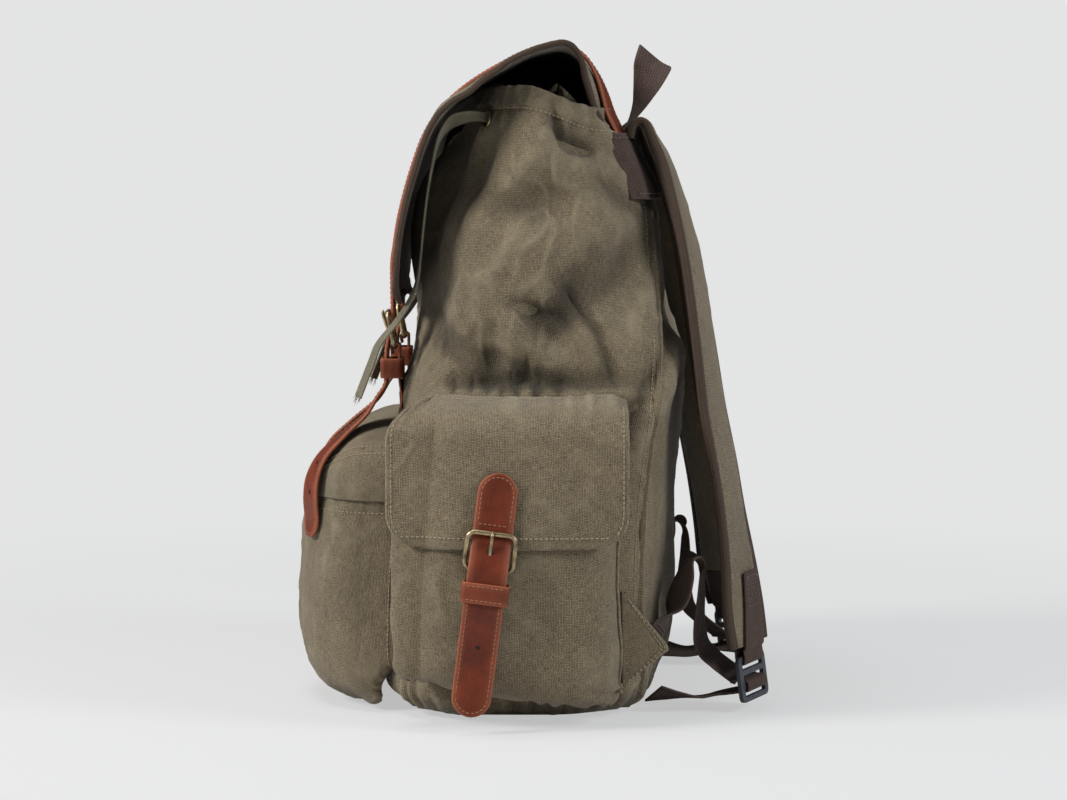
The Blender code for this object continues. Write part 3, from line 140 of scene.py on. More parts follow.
# Drawstring: a flat woven cotton cord 9 mm wide. It comes out of the eyelet by the mouth, runs forward and
# down under the lid, and its cut end hangs out below the hem. Its loose fibres show at the cut.
STRING_WIDTH = 0.0090
STRING_THICK = 0.0016
EYELET_HOLE = 0.0072
EYELET_AROUND = 0.160
EYELET_UP = 0.950
STRING_ROUTE = (
    (0.0910, -0.0430, 0.3865, 0.20, 0.15, 0.95),
    (0.0895, -0.0530, 0.3830, 0.45, 0.25, 0.80),
    (0.0880, -0.0610, 0.3725, 0.75, 0.10, 0.60),
    (0.0865, -0.0655, 0.3560, 0.95, 0.00, 0.30),
    (0.0875, -0.0690, 0.3360, 1.00, 0.00, 0.05),
    (0.0900, -0.0715, 0.3150, 1.00, 0.00, 0.00),
    (0.0940, -0.0735, 0.2950, 1.00, 0.10, 0.00),
    (0.0980, -0.0760, 0.2780, 1.00, 0.20, 0.00),
    (0.1000, -0.0815, 0.2650, 1.00, 0.35, 0.00),
    (0.1005, -0.0895, 0.2530, 1.00, 0.45, 0.00),
    (0.0995, -0.1000, 0.2400, 1.00, 0.55, 0.00),
    (0.0985, -0.1050, 0.2280, 1.00, 0.60, 0.00),
    (0.0975, -0.1095, 0.2165, 1.00, 0.60, 0.00),
    (0.0965, -0.1140, 0.2050, 1.00, 0.60, 0.00),
)
SIDES = (("right", 1), ("left", -1))

# The sack's sections: height share, front and back as shares of the depth, half width as a share of the
# width, and the squareness of the outline
BODY_WIDTH = 0.300
BODY_DEPTH = 0.190
BODY_HEIGHT = 0.406
MOUTH_DROP = 0.017
BODY_SECTIONS = (
    (0.000, -0.330, 0.235, 0.395, 4.2),
    (0.008, -0.415, 0.320, 0.450, 4.2),
    (0.026, -0.478, 0.385, 0.482, 4.2),
    (0.070, -0.508, 0.440, 0.494, 4.2),
    (0.150, -0.512, 0.470, 0.498, 4.2),
    (0.250, -0.502, 0.486, 0.500, 4.2),
    (0.350, -0.486, 0.500, 0.499, 4.1),
    (0.440, -0.466, 0.510, 0.496, 3.9),
    (0.510, -0.450, 0.516, 0.490, 3.6),
    (0.570, -0.412, 0.520, 0.478, 3.3),
    (0.630, -0.400, 0.482, 0.466, 3.0),
    (0.710, -0.374, 0.446, 0.452, 2.8),
    (0.780, -0.326, 0.424, 0.436, 2.7),
    (0.850, -0.286, 0.386, 0.418, 2.6),
    (0.915, -0.236, 0.334, 0.398, 2.6),
    (0.965, -0.208, 0.296, 0.380, 2.6),
    (1.000, -0.172, 0.262, 0.366, 2.6),
)
# Its large dents and folds: share of the way round from the front middle, height share, width round,
# height, lean, and depth as a share of the depth of the bag
BODY_FOLDS = (
    (0.248, 0.825, 0.050, 0.040, 0.00, -0.048),
    (0.285, 0.935, 0.020, 0.040, 0.30, -0.030),
    (0.240, 0.940, 0.026, 0.050, 0.00, 0.016),
    (0.150, 0.850, 0.022, 0.060, 0.25, -0.040),
    (0.180, 0.790, 0.022, 0.070, 0.20, 0.020),
    (0.205, 0.565, 0.010, 0.055, 0.00, -0.026),
    (0.232, 0.545, 0.009, 0.035, 0.00, -0.022),
    (0.252, 0.610, 0.012, 0.070, -0.45, -0.026),
    (0.222, 0.640, 0.012, 0.048, 0.00, 0.018),
    (0.275, 0.660, 0.018, 0.056, -0.30, 0.018),
    (0.330, 0.690, 0.022, 0.090, 0.10, -0.020),
    (0.350, 0.625, 0.020, 0.045, 0.30, 0.020),
    (0.400, 0.630, 0.050, 0.026, 0.10, -0.026),
    (0.770, 0.830, 0.046, 0.046, 0.00, -0.040),
    (0.720, 0.930, 0.022, 0.040, -0.30, -0.026),
    (0.850, 0.845, 0.022, 0.060, -0.25, -0.036),
    (0.790, 0.560, 0.011, 0.050, 0.00, -0.024),
    (0.762, 0.600, 0.013, 0.070, 0.40, -0.026),
    (0.735, 0.550, 0.010, 0.040, 0.00, -0.020),
    (0.670, 0.680, 0.022, 0.090, -0.10, -0.022),
    (0.600, 0.640, 0.050, 0.026, -0.10, -0.024),
)


def unit(v):
    return v / np.maximum(np.linalg.norm(v, axis=-1, keepdims=True), 1e-12)


def step(low, high, value):
    t = np.clip((value - low) / (high - low), 0.0, 1.0)
    return t * t * (3 - 2 * t)


def smooth(points, count, bias=0.0):
    """Places on a smooth curve through points; bias draws them towards its bends."""
    p = np.array(points, float)
    ends = np.vstack((2 * p[0] - p[1], p, 2 * p[-1] - p[-2]))
    fine = []
    for a, b, c, d in zip(ends, ends[1:], ends[2:], ends[3:]):
        t = np.linspace(0, 1, 24, endpoint=False)[:, None]
        cubic = (d - 3 * c + 3 * b - a) * t**3 + (2 * a - 5 * b + 4 * c - d) * t**2 + (c - a) * t
        fine.append(b + cubic / 2)
    fine.append(p[-1:])
    fine = np.vstack(fine)
    lengths = np.linalg.norm(np.diff(fine[:, :3], axis=0), axis=1)
    run = np.concatenate(([0], np.cumsum(lengths)))
    at = np.linspace(0, 1, count) if np.isscalar(count) else np.asarray(count)
    if bias:
        way = np.diff(fine[:, :3], axis=0) / np.maximum(lengths, 1e-9)[:, None]
        bend = np.arccos(np.clip(np.sum(way[1:] * way[:-1], axis=1), -1, 1))
        cost = lengths / run[-1]
        cost[1:] += bend * bias
        cost = np.concatenate(([0], np.cumsum(cost)))
        at = np.interp(at, cost / cost[-1], run / run[-1])
    at = at * run[-1]
    return np.column_stack([np.interp(at, run, fine[:, k]) for k in range(fine.shape[1])])


def read(table, key, value):
    """Column value of a table at a place in its first column, with smooth slopes between rows."""
    rows = np.array(table, float)
    x, y = rows[:, 0], rows[:, key]
    slopes = np.gradient(y, x)
    value = np.clip(value, x[0], x[-1])
    k = np.clip(np.searchsorted(x, value, side="right") - 1, 0, len(x) - 2)
    h = x[k + 1] - x[k]
    t = (value - x[k]) / h
    rise = (1 + 2 * t) * (1 - t) ** 2 * y[k] + t * t * (3 - 2 * t) * y[k + 1]
    return rise + h * (t * (1 - t) ** 2 * slopes[k] - t * t * (1 - t) * slopes[k + 1])


def frames(middles, across, closed=False):
    """Square up across and give out, both at right angles to the path."""
    if closed:
        tangent = np.roll(middles, -1, axis=0) - np.roll(middles, 1, axis=0)
    else:
        tangent = np.gradient(middles, axis=0)
    tangent = unit(tangent)
    across = np.broadcast_to(across, middles.shape)
    across = unit(across - tangent * np.sum(across * tangent, axis=1, keepdims=True))
    return across, np.cross(tangent, across)


def section_at(up):
    front = read(BODY_SECTIONS, 1, up) * BODY_DEPTH
    back = read(BODY_SECTIONS, 2, up) * BODY_DEPTH
    half = read(BODY_SECTIONS, 3, up) * BODY_WIDTH
    return (front + back) / 2, (back - front) / 2, half, read(BODY_SECTIONS, 4, up)


def body_ring(up, around):
    """Points of the sack's outer face at a height share, at shares of the way round."""
    middle, deep, half, square = section_at(up)
    turn = np.linspace(0, 2 * math.pi, 1441)
    x = half * np.sign(np.sin(turn)) * np.abs(np.sin(turn)) ** (2 / square)
    y = middle - deep * np.sign(np.cos(turn)) * np.abs(np.cos(turn)) ** (2 / square)
    run = np.concatenate(([0], np.cumsum(np.hypot(np.diff(x), np.diff(y)))))
    at = (np.asarray(around) % 1) * run[-1]
    px, py = np.interp(at, run, x), np.interp(at, run, y)
    ahead, behind = at + run[-1] * 1e-3, at - run[-1] * 1e-3
    tx = np.interp(ahead % run[-1], run, x) - np.interp(behind % run[-1], run, x)
    ty = np.interp(ahead % run[-1], run, y) - np.interp(behind % run[-1], run, y)
    size = np.hypot(tx, ty)
    push = np.zeros(px.shape)
    for place, height, wide, tall, lean, depth in BODY_FOLDS:
        off = ((np.asarray(around) % 1) - place + 0.5) % 1 - 0.5 - lean * (up - height)
        push = push + depth * BODY_DEPTH * np.exp(-((off / wide) ** 2) - ((up - height) / tall) ** 2)
    back_share = (py - (middle - deep)) / (2 * deep)
    drop = MOUTH_DROP * step(0.80, 1.0, up) * step(0.30, 0.95, back_share)
    z = np.broadcast_to(up * BODY_HEIGHT, px.shape) - drop
    return np.stack((px + push * ty / size, py - push * tx / size, z), axis=-1)


def body_spot(around, up):
    """A place on the sack and the directions round, up and out there."""
    here = body_ring(up, np.array([around - 0.004, around, around + 0.004]))
    low, high = body_ring(up - 0.01, np.array([around])), body_ring(min(up + 0.01, 1.0), np.array([around]))
    round_way = unit(here[2] - here[0])
    up_way = unit(high[0] - low[0])
    return here[1], round_way, up_way, unit(np.cross(round_way, up_way))


def group(name, ins, outs):
    """An empty shader group with its sockets, and the sockets inside it."""
    made = bpy.data.node_groups.new(name, "ShaderNodeTree")
    for label, kind, value in ins:
        socket = made.interface.new_socket(label, in_out="INPUT", socket_type="NodeSocket" + kind)
        if value is not None:
            socket.default_value = value
    for label, kind in outs:
        made.interface.new_socket(label, in_out="OUTPUT", socket_type="NodeSocket" + kind)
    inside = made.nodes.new("NodeGroupInput")
    outside = made.nodes.new("NodeGroupOutput")
    return made, inside.outputs, outside.inputs


def maths(tree, operation, *values):
    return put(tree, "Math", {"operation": operation}, **{"i" + str(k): v for k, v in enumerate(values)}).outputs[0]


def blend_colours(tree, share, a, b, how="MIX"):
    made = put(tree, "Mix", {"data_type": "RGBA", "blend_type": how}, i0=share, i6=a, i7=b)
    return made.outputs[2]


def blotches(tree, where, scale, detail=3.0, rough=0.55):
    return put(tree, "TexNoise", Vector=where, Scale=scale, Detail=detail, Roughness=rough).outputs[0]


# A plain weave: threads over and under each other, each with its own tone and thickness
weave, given, gives = group("plain weave", (("Cloth", "Vector", None), ("Threads", "Float", 760.0)),
                            (("Height", "Float"), ("Fleck", "Float")))
scaled = put(weave, "VectorMath", {"operation": "SCALE"}, i0=given["Cloth"], Scale=given["Threads"]).outputs[0]
wander = put(weave, "TexNoise", Vector=scaled, Scale=0.16, Detail=1.0).outputs[1]
wander = put(weave, "VectorMath", {"operation": "SCALE"}, i0=wander, Scale=0.9).outputs[0]
bent = put(weave, "VectorMath", {"operation": "ADD"}, i0=scaled, i1=wander).outputs[0]
parts = put(weave, "SeparateXYZ", i0=bent).outputs
over = maths(weave, "MULTIPLY", maths(weave, "SINE", maths(weave, "MULTIPLY", parts[0], math.pi)),
             maths(weave, "SINE", maths(weave, "MULTIPLY", parts[1], math.pi)))
knot = maths(weave, "POWER", maths(weave, "ABSOLUTE", over), 0.6)
warp_up = maths(weave, "GREATER_THAN", over, 0.0)
warp_at = put(weave, "CombineXYZ", X=maths(weave, "MULTIPLY", parts[0], 1.7), Y=maths(weave, "MULTIPLY", parts[1], 0.22))
weft_at = put(weave, "CombineXYZ", X=maths(weave, "MULTIPLY", parts[0], 0.22), Y=maths(weave, "MULTIPLY", parts[1], 1.7))
warp_tone = put(weave, "TexNoise", Vector=warp_at.outputs[0], Scale=1.0, Detail=1.5).outputs[0]
weft_tone = put(weave, "TexNoise", Vector=weft_at.outputs[0], Scale=1.0, Detail=1.5).outputs[0]
thread = put(weave, "Mix", {"data_type": "FLOAT"}, i0=warp_up, i2=weft_tone, i3=warp_tone).outputs[0]
fleck = maths(weave, "MULTIPLY", thread, maths(weave, "ADD", maths(weave, "MULTIPLY", knot, 0.75), 0.35))
weave.links.new(maths(weave, "ADD", maths(weave, "MULTIPLY", knot, 0.7), maths(weave, "MULTIPLY", thread, 0.6)),
                gives["Height"])
weave.links.new(fleck, gives["Fleck"])

# Fading and soiling of washed cloth: broad soft patches and a paler bloom where it is creased or rubbed
fading, given, gives = group("washed fading", (("Cloth", "Vector", None), ("Rub", "Float", 0.0)),
                             (("Fade", "Float"), ("Rubbed", "Float")))
broad = blotches(fading, given["Cloth"], 11.0, 4.0, 0.6)
streak = blotches(fading, given["Cloth"], 70.0, 3.0, 0.6)
gathered = maths(fading, "ADD", maths(fading, "MULTIPLY", broad, 0.6), maths(fading, "MULTIPLY", streak, 0.4))
fading.links.new(gathered, gives["Fade"])
patchy = put(fading, "MapRange", i0=streak, i1=0.35, i2=0.70, i3=0.25, i4=1.0).outputs[0]
fading.links.new(maths(fading, "MULTIPLY", given["Rub"], patchy), gives["Rubbed"])


def cloth_finish(name, dark, light, rubbed, threads=980.0, bump=0.65, sheen=0.12, rough=0.92):
    """Woven cloth: flecks between a dark and a light thread, washed patches, rubbed edges, and painted shade where the
    wear channel falls below nothing.
    """
    made = bpy.data.materials.new(name)
    made.use_nodes = True
    tree = made.node_tree
    shader = tree.nodes["Principled BSDF"]
    cloth = put(tree, "Attribute", {"attribute_name": "cloth"}).outputs["Vector"]
    # The third part of cloth is rubbed wear, and below nothing it is a painted shade for deep creases
    rub_and_crease_shade = put(tree, "SeparateXYZ", i0=cloth).outputs[2]
    cloth = put(tree, "VectorMath", {"operation": "MULTIPLY"}, i0=cloth, i1=(1.0, 1.0, 0.0)).outputs[0]
    woven = put(tree, "Group", {"node_tree": weave}, Cloth=cloth, Threads=threads).outputs
    washed = put(tree, "Group", {"node_tree": fading}, Cloth=cloth, Rub=rub_and_crease_shade).outputs
    share = put(tree, "MapRange", i0=woven["Fleck"], i1=0.16, i2=0.68, i3=0.0, i4=1.0).outputs[0]
    colour = blend_colours(tree, share, dark, light)
    patch = put(tree, "MapRange", i0=washed["Fade"], i1=0.32, i2=0.68, i3=0.80, i4=1.20).outputs[0]
    # Wear below nothing is painted shade: the colour there is darkened, down to 0.30 of itself, as if the deep creases
    # lay in shadow
    crease_shade = put(tree, "MapRange", i0=rub_and_crease_shade, i1=-1.0, i2=0.0, i3=0.30, i4=1.0).outputs[0]
    # The washed patches are multiplied by the painted crease shade
    patch = maths(tree, "MULTIPLY", patch, crease_shade)
    colour = blend_colours(tree, 1.0, colour, put(tree, "CombineColor", i0=patch, i1=patch, i2=patch).outputs[0],
                           "MULTIPLY")
    colour = blend_colours(tree, maths(tree, "MULTIPLY", washed["Rubbed"], 0.55), colour, rubbed)
    tree.links.new(colour, shader.inputs["Base Color"])
    shader.inputs["Roughness"].default_value = rough
    shader.inputs["Sheen Weight"].default_value = sheen
    shader.inputs["Sheen Roughness"].default_value = 0.5
    shader.inputs["Specular IOR Level"].default_value = 0.25
    raised = put(tree, "Bump", Strength=bump, Distance=0.0005, Height=woven["Height"])
    tree.links.new(raised.outputs[0], shader.inputs["Normal"])
    return made


CANVAS = cloth_finish("washed olive canvas", (0.030, 0.023, 0.013, 1), (0.285, 0.228, 0.142, 1),
                      (0.235, 0.200, 0.130, 1))
CORD = cloth_finish("olive cotton cord", (0.060, 0.052, 0.034, 1), (0.215, 0.190, 0.128, 1),
                    (0.260, 0.230, 0.165, 1), threads=1400.0)


def quads(rows, columns, wrap=True):
    r = np.arange(rows - 1)[:, None]
    c = np.arange(columns if wrap else columns - 1)[None]
    d = (c + 1) % columns
    a, b = r * columns + c, r * columns + d
    return np.stack((a, b, b + columns, a + columns), axis=-1).reshape(-1, 4).tolist()


def piece(name, points, faces, finishes, stands_for=(), cloth=None, second=None, side=1, sharp=None):
    """A closed mesh that rides on the bag; cloth holds each point's place on the flat cloth and its wear, which falls
    below nothing where a painted crease shade darkens the sack.
    """
    mesh = bpy.data.meshes.new(name)
    points = np.asarray(points, float).reshape(-1, 3) * (side, 1, 1) + (0, SETTLED, 0)
    mesh.from_pydata(points.tolist(), [], faces)
    if cloth is not None:
        layer = mesh.attributes.new("cloth", "FLOAT_VECTOR", "POINT")
        layer.data.foreach_set("vector", np.asarray(cloth, np.float32).reshape(-1))
    finishes = finishes if isinstance(finishes, (list, tuple)) else [finishes]
    for finish in finishes:
        mesh.materials.append(finish)
    if second is not None:
        mesh.polygons.foreach_set("material_index", np.asarray(second, np.int32))
    work = bmesh.new()
    work.from_mesh(mesh)
    bmesh.ops.remove_doubles(work, verts=work.verts, dist=1e-6)
    bmesh.ops.recalc_face_normals(work, faces=work.faces)
    work.to_mesh(mesh)
    work.free()
    mesh.shade_smooth()
    if sharp:
        mesh.set_sharp_from_angle(angle=math.radians(sharp))
    made = bpy.data.objects.new(name, mesh)
    bpy.context.scene.collection.objects.link(made)
    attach(made, "root")
    if stands_for:
        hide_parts(*stands_for)
    return made


def soft_section(face_points=7, edge_points=5):
    """Points round a flat strap as (share of the half width, share of the half thickness, edge share)."""
    rows = []
    for side in (1, -1):
        for t in np.linspace(1, -1, face_points)[1:-1] * side:
            rows.append((-t, side, 0.0))
        for angle in np.linspace(90, -90, edge_points) * side:
            a = math.radians(angle)
            rows.append((side, math.sin(a), side * math.cos(a)))
    return np.array(rows)


def swept(middles, across, out, widths, thicks, section, closed=False, crown=0.0):
    """Rings of a strap: flat faces and round long edges, with a crown in the middle of its outer face."""
    half, deep = np.asarray(widths)[:, None] / 2, np.asarray(thicks)[:, None] / 2
    edge = np.minimum(deep * 0.9, half * 0.5)
    u = section[:, 0] * (half - edge) + section[:, 2] * edge
    w = section[:, 1] * deep + crown * deep * (section[:, 1] > 0.99) * (1 - section[:, 0] ** 2)
    points = middles[:, None] + across[:, None] * u[..., None] + out[:, None] * w[..., None]
    return points, u


def strap(name, points, across, width, thick, finish, stands_for=(), count=120, tips=(), side=1,
          widths=None, crown=0.0, bias=0.06, wear=0.0016):
    """A flat strap along a smooth path, with round tips where asked; gives its path for stitching."""
    rows = np.asarray(points, float)
    if across is not None:
        rows = np.hstack((rows, np.broadcast_to(across, (len(rows), 3))))
    dense = smooth(rows, 600, bias)[:, :3]
    run = np.concatenate(([0], np.cumsum(np.linalg.norm(np.diff(dense, axis=0), axis=1))))
    length = run[-1]
    share = np.interp(np.linspace(0, 1, count), np.linspace(0, 1, 600), run / length)
    radius = width / 2
    turn = 1 - np.cos(np.linspace(0.0, 1, 10) * math.pi / 2)
    for tip in tips:
        near = turn * radius / length
        share = np.concatenate((share[(share > near[-1]) if tip == 0 else (share < 1 - near[-1])],
                                near if tip == 0 else 1 - near))
    share = np.unique(share)
    path = smooth(rows, share)
    scale = np.ones(len(share))
    for tip in tips:
        left = (share if tip == 0 else 1 - share) * length
        scale = np.minimum(scale, np.sqrt(np.clip(1 - (1 - np.minimum(left, radius) / radius) ** 2, 0.0004, 1)))
    sides, out = frames(path[:, :3], path[:, 3:6])
    wide = width * scale if widths is None else widths(share * length) * scale
    thin = thick * np.clip(np.sqrt(scale) * 1.2, 0.25, 1.0)
    section = soft_section()
    rings, u = swept(path[:, :3], sides, out, wide, thin, section, crown=crown)
    cloth = np.stack((u, np.broadcast_to((share * length)[:, None], u.shape),
                      np.exp(-(wide[:, None] / 2 - np.abs(u)) / wear)), axis=-1)
    size = len(section)
    faces = quads(len(share), size)
    faces += [tuple(range(size)), tuple((len(share) - 1) * size + k for k in range(size))]
    made = piece(name, rings, faces, finish, stands_for, cloth, side=side)
    return made, {"path": path[:, :3], "sides": sides, "out": out, "half": wide / 2, "thick": thin,
                  "run": share * length, "crown": crown}


cords = {}
for label, side in SIDES:
    middle, round_way, up_way, out = body_spot(EYELET_AROUND, EYELET_UP)
    rows = [np.concatenate((middle + out * n, up_way)) for n in (-0.005, 0.0, 0.005)]
    rows += [np.array(row) for row in STRING_ROUTE]
    string, line = strap("hem_string_" + label, rows, None, STRING_WIDTH, STRING_THICK, CORD,
                         ("drawstring_" + label,), count=110, side=side, wear=0.0012,
                         widths=lambda run: 0.0064 + (STRING_WIDTH - 0.0064) * step(0.010, 0.030, run))
    route = line["path"] * (side, 1, 1) + (0, SETTLED, 0)
    length = float(np.sum(np.linalg.norm(np.diff(route, axis=0), axis=1)))
    # Loose fibres at the cut end
    dice = np.random.default_rng(7 + side)
    end, way = line["path"][-1], unit(line["path"][-1] - line["path"][-3])
    threads, faces = [], []
    for k in range(16):
        root = end + line["sides"][-1] * dice.uniform(-0.9, 0.9) * STRING_WIDTH / 2 - way * 0.001
        tip = root + way * dice.uniform(0.003, 0.006) + dice.normal(0, 0.0008, 3)
        over, upon = unit(np.cross(tip - root, (1, 0, 0))), unit(np.cross(tip - root, (0, 1, 0)))
        base = len(threads)
        for at, wide in ((root, 0.00028), (root * 0.4 + tip * 0.6, 0.00022), (tip, 0.00008)):
            threads += [at + over * wide * math.cos(a) + upon * wide * math.sin(a) for a in (0, 2.1, 4.2)]
        faces += [[base + i for i in face] for face in quads(3, 3)]
        faces += [[base, base + 1, base + 2], [base + 6, base + 7, base + 8]]
    fray = piece("string_fray_" + label, threads, faces, CORD, side=side,
                 cloth=np.full((len(threads), 3), 0.5))
    cords[label] = length


# Folds of the sack's side as the cloth sags: their lines in (y, z), width and depth
SIDE_FOLDS = (
    (((0.0125, 0.3947), (0.0157, 0.3781), (0.0246, 0.3685), (0.0362, 0.3653)), 0.0040, -0.0034),
    (((0.0266, 0.4024), (0.0426, 0.3896), (0.0502, 0.3794)), 0.0050, 0.0042),
    (((0.0330, 0.3858), (0.0464, 0.3730), (0.0541, 0.3704)), 0.0040, 0.0032),
    (((0.0362, 0.3896), (0.0502, 0.3755)), 0.0032, -0.0032),
    (((0.0042, 0.3653), (-0.0086, 0.3474), (-0.0227, 0.3359)), 0.0070, 0.0024),
    (((-0.0502, 0.3397), (-0.0618, 0.3173), (-0.0662, 0.3013)), 0.0060, -0.0040),
    (((-0.0381, 0.3461), (-0.0496, 0.3192), (-0.0534, 0.2936)), 0.0070, 0.0026),
    (((-0.0214, 0.2693), (0.0170, 0.2552)), 0.0045, -0.0026),
    (((0.0202, 0.2789), (0.0426, 0.2501)), 0.0045, -0.0026),
    (((-0.0406, 0.2437), (-0.0086, 0.2373)), 0.0060, 0.0022),
    (((-0.0522, 0.1989), (-0.0534, 0.2181)), 0.0026, -0.0025),
    (((-0.0406, 0.1989), (-0.0406, 0.2194)), 0.0026, -0.0023),
    (((-0.0304, 0.1989), (-0.0298, 0.2175)), 0.0024, -0.0025),
    (((-0.0214, 0.1989), (-0.0202, 0.2162)), 0.0024, -0.0021),
    (((-0.0112, 0.1989), (-0.0099, 0.2181)), 0.0026, -0.0025),
    (((0.0003, 0.1989), (0.0022, 0.2207)), 0.0028, -0.0026),
    (((0.0144, 0.1989), (0.0170, 0.2181)), 0.0028, -0.0022),
    (((0.0963, 0.2411), (0.0778, 0.2053), (0.0650, 0.1765)), 0.0060, 0.0046),
    (((0.0874, 0.2424), (0.0688, 0.2066), (0.0566, 0.1797)), 0.0050, -0.0038),
    (((0.0426, 0.2501), (0.0554, 0.2053)), 0.0050, -0.0026),
    (((0.0682, 0.3077), (0.0451, 0.2719)), 0.0070, -0.0022),
    (((0.0778, 0.2936), (0.0682, 0.2501)), 0.0060, 0.0024),
    (((-0.0086, 0.3128), (-0.0342, 0.2693)), 0.0080, 0.0022),
    (((-0.0662, 0.2693), (-0.0547, 0.2309)), 0.0060, -0.0024),
    (((0.0426, 0.3461), (0.0682, 0.3243)), 0.0050, -0.0026),
    (((-0.0214, 0.3845), (-0.0406, 0.3653)), 0.0050, 0.0020),
    (((-0.0739, 0.1925), (-0.0662, 0.1605)), 0.0040, -0.0020),
    (((-0.0502, 0.2155), (-0.0086, 0.2194), (0.0426, 0.2143)), 0.0090, -0.0046),
    (((0.0374, 0.2936), (0.0208, 0.2693), (0.0093, 0.2411)), 0.0150, -0.0044),
    (((-0.0330, 0.3410), (-0.0176, 0.3307), (0.0093, 0.3256)), 0.0110, -0.0032),
    (((0.0170, 0.3858), (0.0208, 0.3704), (0.0374, 0.3653)), 0.0050, -0.0028),
    (((-0.0547, 0.2463), (-0.0304, 0.2360), (-0.0086, 0.2399)), 0.0110, -0.0036),
    (((-0.0701, 0.3359), (-0.0765, 0.3128), (-0.0778, 0.2936)), 0.0080, -0.0034),
)


# Sack: one tube of washed olive canvas 2 mm thick with a sewn-in base. Its mouth is hemmed over the
# drawstring, and the cloth sags and creases between the pockets. Side seams are turned and topstitched.
BODY_WALL = 0.0020
PERIMETER = 0.860
HEM_LOW = 0.966


CREASE_SEED = 11
noise.seed_set(CREASE_SEED)


def crumple(grid, soft, fine, seed, stretch=(1.0, 1.0, 0.55), scale=1.0):
    """Heights of soft hollows and short raised wrinkles over a grid of places, in metres."""
    start = Vector((seed * 7.3, seed * 3.1, seed * 5.7))
    heights = np.empty(grid.shape[0] * grid.shape[1])
    for k, place in enumerate(grid.reshape(-1, 3) * stretch):
        at = Vector(place)
        broad = noise.noise(at * 24 * scale + start)
        at = at + noise.noise_vector(at * 16 * scale + start) * 0.016 / scale
        ridge = 1 - abs(noise.noise(at * 58 * scale + start)) * 3.2
        small = noise.noise(at * 150 * scale + start)
        heights[k] = soft * broad + fine * (max(ridge, 0.0) ** 1.5 * (0.55 + broad) + 0.22 * small)
    return heights.reshape(grid.shape[:2])


def fold_line(y, z, line, wide, deep):
    """Depth of one fold: deepest on the line, and fading out at its ends."""
    line = np.array(line)
    best, along = np.full(y.shape, np.inf), np.zeros(y.shape)
    for k, (a, b) in enumerate(zip(line, line[1:])):
        way = b - a
        t = np.clip(((y - a[0]) * way[0] + (z - a[1]) * way[1]) / np.dot(way, way), 0, 1)
        away = np.hypot(y - a[0] - way[0] * t, z - a[1] - way[1] * t)
        along = np.where(away < best, (k + t) / (len(line) - 1), along)
        best = np.minimum(best, away)
    fade = np.sin(math.pi * (0.12 + 0.76 * along)) ** 0.7
    return deep * np.exp(-(best / wide) ** 1.6) * fade


def grid_normals(grid, wrap):
    if wrap:
        along = np.roll(grid, -1, axis=1) - np.roll(grid, 1, axis=1)
    else:
        along = np.gradient(grid, axis=1)
    return unit(np.cross(along, np.gradient(grid, axis=0)))


def rubbed(heights, reach=4, wrap=False):
    """How much each place stands proud of what lies round it, from 0 to 1, where cloth gets rubbed pale."""
    around = heights
    for axis in (0, 1):
        for shift in (reach, reach * 2):
            lower = np.roll(around, shift, axis=axis)
            upper = np.roll(around, -shift, axis=axis)
            if axis == 0 or not wrap:
                edge = [slice(None), slice(None)]
                edge[axis] = slice(0, shift)
                lower[tuple(edge)] = around[tuple(edge)]
                edge[axis] = slice(-shift, None)
                upper[tuple(edge)] = around[tuple(edge)]
            around = (around + lower + upper) / 3
    return np.clip(0.10 + (heights - around) / 0.0016, 0.0, 1.0)


AROUND = np.concatenate((np.linspace(0.0, 0.14, 46, endpoint=False), np.linspace(0.14, 0.385, 196, endpoint=False),
                         np.linspace(0.385, 1.0, 158, endpoint=False)))
UPS = np.concatenate(((0.0, 0.003, 0.008, 0.015), np.linspace(0.024, 0.955, 158), np.linspace(0.960, 1.0, 11)))
sack = np.stack([body_ring(up, AROUND) for up in UPS])
dents = crumple(sack, 0.0052, 0.0019, 3)
y, z = sack[..., 1], sack[..., 2]
right = step(0.02, 0.09, sack[..., 0])
left = step(0.02, 0.09, -sack[..., 0])
creases = np.zeros(y.shape)
for line, wide, deep in SIDE_FOLDS:
    creases += right * fold_line(y, z, line, wide * 1.15, deep * 1.6)
    creases += left * fold_line(y * 1.04 - 0.010, z * 1.03 - 0.012, line, wide * 1.3, deep * 1.4)
ups = UPS[:, None]
# Gathers of the hem over its string, and the line where the hem is sewn
ripple = np.sin(AROUND[None] * 2 * math.pi * 46 + 3.0 * np.sin(AROUND[None] * 2 * math.pi * 5 + 1.3))
ripple = ripple * (0.45 + 0.55 * np.sin(AROUND[None] * 2 * math.pi * 11 + 0.6))
creases += 0.0009 * ripple * step(0.900, 0.975, ups) * np.ones_like(y)
creases += 0.0011 * step(HEM_LOW - 0.002, HEM_LOW + 0.008, ups) - 0.0007 * np.exp(-((ups - HEM_LOW) / 0.004) ** 2)
# Puckers along the seam of the base
pucker = np.sin(AROUND[None] * 2 * math.pi * 62 + 4.0 * np.sin(AROUND[None] * 2 * math.pi * 7))
creases += 0.0012 * pucker * step(0.004, 0.022, ups) * (1 - step(0.030, 0.095, ups))
# What is packed in it pushes its front out under the lid
front_share = np.minimum(AROUND, 1 - AROUND)[None]
creases += 0.0190 * np.exp(-(front_share / 0.080) ** 4) * np.exp(-((ups - 0.80) / 0.105) ** 2)
heights = (dents + creases) * step(0.0, 0.016, ups)
# The sack stays quiet where pockets and the band are sewn on
quiet = 1 - 0.75 * (np.exp(-((z - 0.209) / 0.006) ** 2) * (np.abs(y) < 0.075) * (np.abs(sack[..., 0]) > 0.10))
heights = heights * quiet
# Rubbed wear on raised places, less a painted shade that darkens the deep creases as if they lay in shadow
wear = rubbed(heights, 3, wrap=True) - np.clip(-creases / 0.0075, 0.0, 1.0)
normals = grid_normals(sack, True)
normals[..., 2] *= step(0.0, 0.03, ups)
sack = sack + unit(normals) * heights[..., None]
